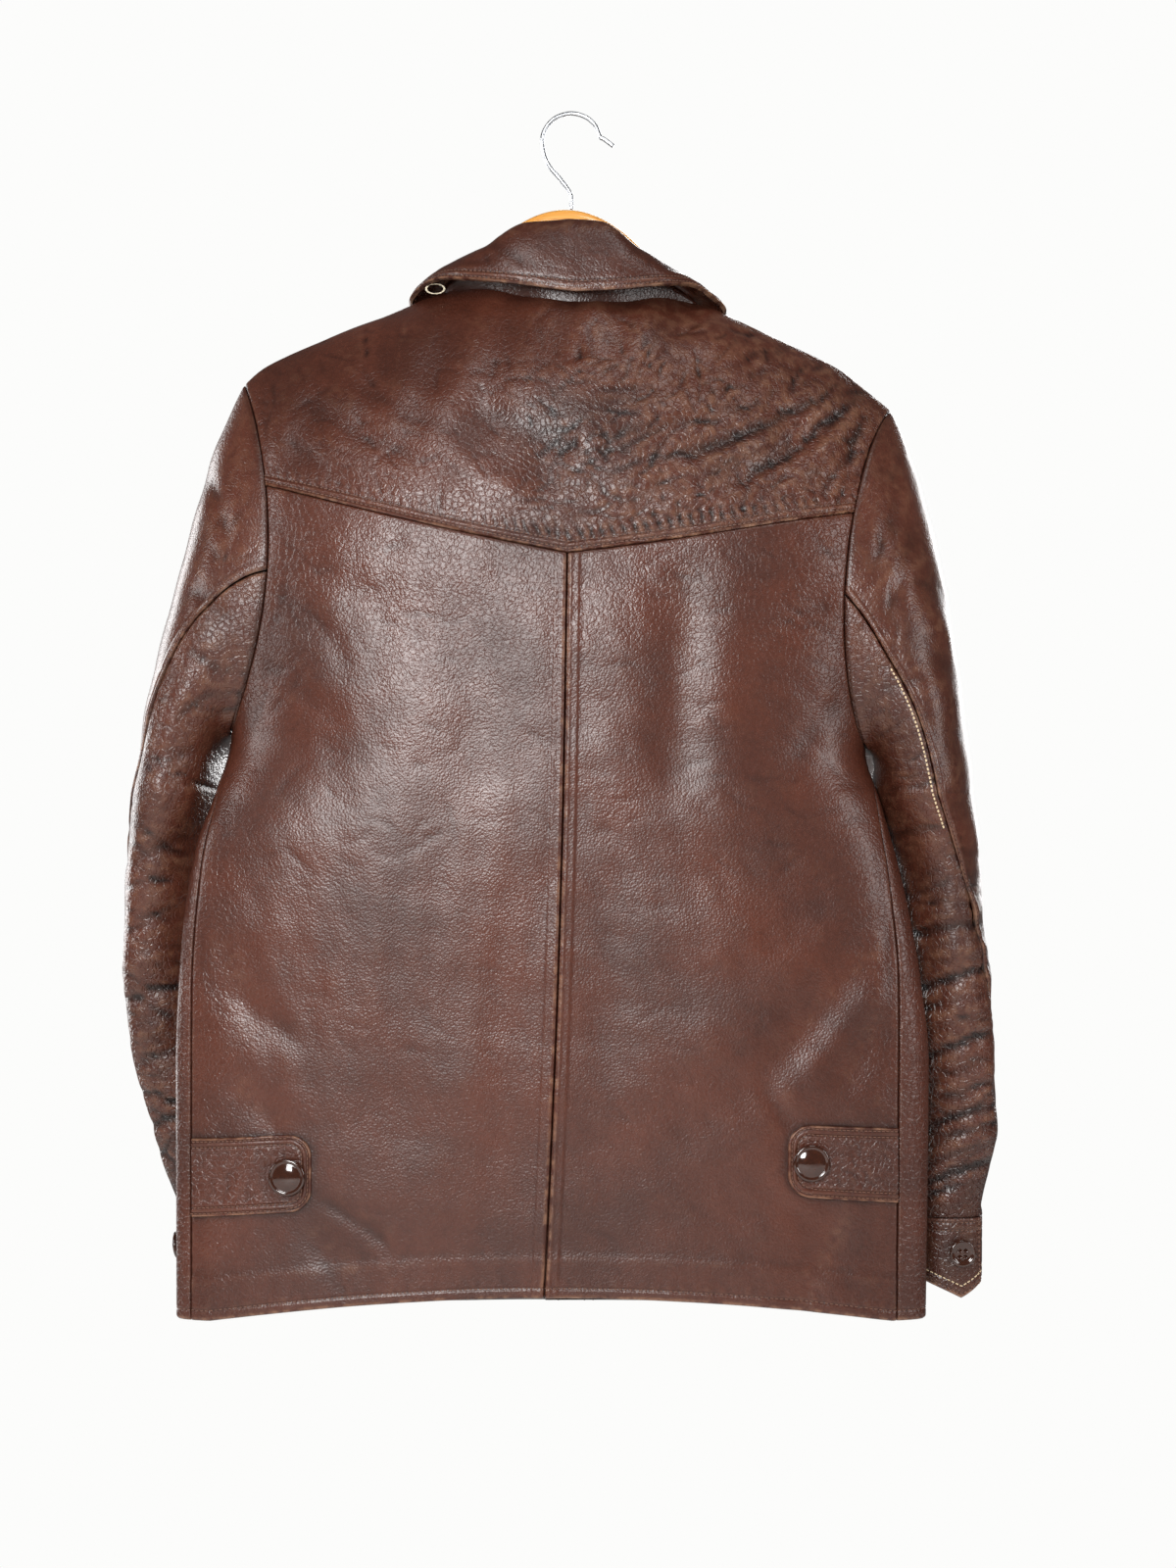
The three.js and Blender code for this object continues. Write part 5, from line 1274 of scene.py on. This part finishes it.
# The stand's face towards the neck: straight from the neckline to the fold, with a slight bulge.
def standAt(degrees, way):
    x, drop = neckPlace(np.radians(degrees))
    front = np.abs(degrees) > 90
    angle = np.where(front, frontAngle(x, drop, np.sign(degrees)), backAngle(x, drop))
    over = np.maximum(np.where(degrees < 0, lapAt(x), 0), fronts["lapLift"] * share(-x, -34, -20))
    foot = trunkAround(angle, drop) + trunkNormal(angle, drop) * np.where(front, over, 0)[..., None]
    away = awayFromNeck(degrees)
    foot = foot - away * collar["tuck"][0] - np.array([0, 0, collar["tuck"][1]])
    bulge = away * (3 * way * (1 - way))[..., None]
    return mix(foot, collarPoint("fold", degrees), way[..., None]) + bulge


# The fall's upper face: a cubic curve from the fold over a narrow roll and down to the edge.
def fallAt(degrees, way):
    up = np.array([0, 0, 1.0])
    clear = seamGap * (2 + 6 * share(np.abs(degrees), 95, 135))
    start = collarPoint("fold", degrees) + up * clear[..., None]
    edge, away = collarPoint("edge", degrees), awayFromNeck(degrees)
    roll = start + 9 * up + away
    slope = mix(start, edge, 0.25) + 11 * away + 9 * up
    t = way[..., None]
    return start * (1 - t) ** 3 + roll * 3 * t * (1 - t) ** 2 + slope * 3 * t**2 * (1 - t) + edge * t**3


def makeCollar():
    last = math.degrees(mix(neckCornerTurn, math.pi + math.asin(18 / 98), 7 / 9))
    degrees = mix(-last, last, places(470, 2.0, (4, 4)))[None]
    for part, surface in (("Stand", standAt), ("Fall", fallAt)):
        way = (places(42, 2.2, (3, 3)) if part == "Stand" else places(62, 1.4, (4, 9), 0.7))[:, None]
        columns, ways = np.broadcast_arrays(degrees, way)
        points = surface(columns, ways)
        panel = panelOf(points, awayFromNeck(columns) * (-1 if part == "Stand" else 1))
        x, drop = panel["x"], panel["drop"]
        if part == "Stand":
            relief = edgeRoll(panel["fromTop"], 0.3, 1.5) + 0 * x
            # The stand, under the fall, gets an even painted shade of 0.6
            wear, paintedShade = 0.3 * hump(panel["fromTop"], 0, 1.5), 0.6
        else:
            foot = panel["fromFoot"]
            ends = np.minimum(panel["fromStart"], panel["fromEnd"])
            small = scatteredCreases(170, 90, (-115, 84, 110, 135), 20, 50, (8, 26), (1.0, 2.2), (0.06, 0.22))
            backside = share(-panel["normal"][..., 1] + panel["normal"][..., 2], 0.1, 0.5)
            relief = -creaseField(x, drop, [*collar["creases"], *small]) * backside * share(foot, 8, 14)
            relief += 0.25 * slowWaves(171, panel["fromStart"], 0 * x, 34) * share(foot, 2, 10)
            ripple = np.sin(2 * math.pi * panel["fromStart"] / 3.2)
            relief += 0.5 * (1 - share(foot, 6.4, 8.4)) + 0.1 * ripple * hump(foot, 4.5, 3)
            for row in collar["stitchRows"]:
                relief += stitchGroove(foot, row, 0.9, 1.0)
            relief += edgeRoll(foot, 1.2, 1.6) + edgeRoll(ends, 1.2, 1.6)
            # The fall gets an even painted shade of 0.25
            wear, paintedShade = 0.75 * hump(foot, 0, 1.3) + 0.18 * hump(panel["fromTop"], 10, 6), 0.25
        leatherPiece("collar" + part, "collar_" + part.lower(), panel, relief, collar["leather"],
                     0.16, wear, paintedShade)
    for row in collar["stitchRows"]:
        sewRow(*lineOnPanel(panel, "fromFoot", row), pitch=3.2)
    return panel


makeCollar()
print("collar made")


# A small cream cord loop under the collar's left end: an oval ring of two-ply cord, whose radius
# swells and sinks as the plies wind round it.
cordLoop = {
    "ring": 5.4, "cord": 0.7, "centre": (-93.6, -15.1, -122.8), "stretch": (1.15, 0.62), "twists": 13,
}


def makeLoop():
    along = np.arange(160) * 2 * math.pi / 160
    around = np.arange(12) * 2 * math.pi / 12
    cord = cordLoop["cord"] * (0.86 + 0.14 * np.cos(2 * around + cordLoop["twists"] * along[:, None]))
    reach = cordLoop["ring"] + cord * np.cos(around)
    x = reach * np.cos(along[:, None]) * cordLoop["stretch"][0]
    z = reach * np.sin(along[:, None]) * cordLoop["stretch"][1]
    rings = stack(x, cord * np.sin(around), z) + np.array(cordLoop["centre"])
    piece = meshObject("collarLoop", *ringBody(rings, closed=True), creamThread)
    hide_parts("collar_loop")


makeLoop()

hanger = {
    "ends": (-196, 194), "halfThick": 6, "y": -2, "crown": (-4, 66, 102), "underShoulder": 5.45,
    "depth": curveThrough([[-196, 20], [-80, 30], [0, 34], [80, 30], [194, 20]]),
    "wire": 1.5, "bow": 20.4,
}


# The hanger: rounded-square sections (the 0.7 power of a circle's sine and cosine) along a bow
# that follows the crown in the middle and the shoulder line outside.
def makeHanger():
    end = 0.012  # the rounded share of the length at each end
    t = np.concatenate([np.linspace(0, end, 8)[:-1], np.linspace(end, 1 - end, 170),
                        np.linspace(1 - end, 1, 8)[1:]])
    x = mix(hanger["ends"][0], hanger["ends"][1], t)
    crownX, crownDrop, flatness = hanger["crown"]
    crown = crownDrop + (x - crownX) ** 2 / flatness
    rest = shoulderDrop(x) + hanger["underShoulder"] + 4 * share(np.abs(x), 120, 190)
    top = mix(crown, rest, share(np.abs(x), 54, 82))
    rounding = np.sqrt(np.minimum(1, np.minimum(t, 1 - t) / end + 0.15))
    deep = hanger["depth"](x) / 2 * rounding
    turn = np.arange(40) * 2 * math.pi / 40
    power = lambda value: np.sign(value) * np.abs(value) ** 0.7
    y = hanger["y"] + (hanger["halfThick"] * rounding)[:, None] * power(np.cos(turn))
    z = -(top + hanger["depth"](x) / 2)[:, None] + deep[:, None] * power(np.sin(turn))
    body = meshObject("hangerBody", *ringBody(stack(x[:, None], y, z)), lacqueredWood)
    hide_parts("hanger_body")
    radius, centreZ = hanger["bow"], hanger["wire"] - hanger["bow"]
    bow = [(radius * math.cos(math.radians(a)), 0, centreZ + radius * math.sin(math.radians(a)))
           for a in (200, 170, 145, 120, 90, 60, 35, 12)]
    path = smoothPath([(0, 0, -65.4), (-0.4, 0, -55), (-7, 0, -45), (-15, 0, -35.5), *bow, (22.8, 0, -16.5),
                       (29.5, 0, -21.5)])
    girth = np.full(len(path), hanger["wire"])
    girth[[0, -1]] = 0.75 * hanger["wire"]
    hook = meshObject("hangerHook", *ringBody(tubeRings(path, girth, 20)), platedWire)
    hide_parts("hanger_hook")


makeHanger()
stitchMesh("topstitching", stitchRows["brown"], brownThread)
stitchMesh("tanStitching", stitchRows["tan"], tanThread)
print("hanger and sewing made")


# Stage: a pale floor well below the hem, a near-white surround and soft lights before the coat.
stage = {
    "floorDrop": 1.25, "floorHalf": 1.8, "floorY": (-2.8, 0.8), "floorColour": "#e9e7e3",
    "surround": "#fcfcfb", "shown": 1.0, "given": 0.15,
    "lights": [  # name, place, size, watts
        ("windowLight", (-0.42, -2.7, -0.02), (0.6, 0.8), 68),
        ("fillLight", (2.1, -1.5, -0.1), (0.4, 1.2), 24),
        ("sideLight", (-2.2, -0.9, 0.0), (0.4, 1.2), 25),
        ("topLight", (0.7, -1.3, 1.5), (0.9, 0.4), 11),
        ("yokeLight", (-0.7, -1.9, 1.0), (0.6, 0.5), 13),
        ("frontLight", (0.8, 2.6, 0.3), (1.8, 1.8), 90),
        ("frontFill", (-2.0, 1.7, -0.2), (1.0, 1.6), 40),
    ],
    "aim": (0.0, 0.0, -0.42),
    "camera": (0.01156, -2.0, -0.4638),
    "frameHeight": 1.088,
}


def makeStage():
    world = bpy.data.worlds.new("studio")
    bpy.context.scene.world = world
    world.use_nodes = True
    tree = world.node_tree
    tree.nodes.clear()
    shown = addNode(tree, "Background", Color=linearColour(stage["surround"]), Strength=stage["shown"])
    given = addNode(tree, "Background", Color=linearColour(stage["surround"]), Strength=stage["given"])
    rays = addNode(tree, "LightPath").outputs["Is Camera Ray"]
    mixed = addNode(tree, "MixShader", in0=rays, in1=given.outputs[0], in2=shown.outputs[0])
    addNode(tree, "OutputWorld", Surface=mixed.outputs[0])
    half, z = stage["floorHalf"], -stage["floorDrop"]
    near, far = stage["floorY"]
    mesh = bpy.data.meshes.new("floor")
    corners = [(-half, near, z), (half, near, z), (half, far, z), (-half, far, z)]
    mesh.from_pydata(corners, [], [(0, 1, 2, 3)])
    material, tree, skin = newMaterial("plaster_matt_pale")
    place = addNode(tree, "TexCoord").outputs["Object"]
    cloud = addNode(tree, "TexNoise", Vector=place, Detail=3.0, Scale=perMillimetre(120)).outputs["Fac"]
    tint = addNode(tree, "Mix", data_type="RGBA", in0=cloud, in6=linearColour(stage["floorColour"]),
                   in7=linearColour("#f4f3f0")).outputs[2]
    tree.links.new(tint, skin.inputs["Base Color"])
    skin.inputs["Roughness"].default_value = 0.85
    mesh.materials.append(material)
    floor = bpy.data.objects.new("floor", mesh)
    bpy.context.scene.collection.objects.link(floor)
    for name, place, size, watts in stage["lights"]:
        light = bpy.data.lights.new(name, "AREA")
        light.shape, light.size, light.size_y, light.energy = "RECTANGLE", *size, watts
        lamp = bpy.data.objects.new(name, light)
        away = np.array(place) - np.array(stage["aim"])
        lamp.location = place
        lamp.visible_camera = False
        tilt, swing = math.atan2(math.hypot(away[0], away[1]), away[2]), math.atan2(away[0], -away[1])
        lamp.rotation_euler = (tilt, 0, swing)
        bpy.context.scene.collection.objects.link(lamp)
    camera = bpy.data.cameras.new("camera")
    camera.sensor_width = 36
    camera.lens = 18 / (stage["frameHeight"] / 2 / abs(stage["camera"][1]))
    eye = bpy.data.objects.new("camera", camera)
    eye.location = stage["camera"]
    eye.rotation_euler = (math.pi / 2, 0, 0)
    bpy.context.scene.collection.objects.link(eye)
    bpy.context.scene.camera = eye
    bpy.context.scene.view_settings.view_transform = "Standard"


makeStage()
print("stage made")
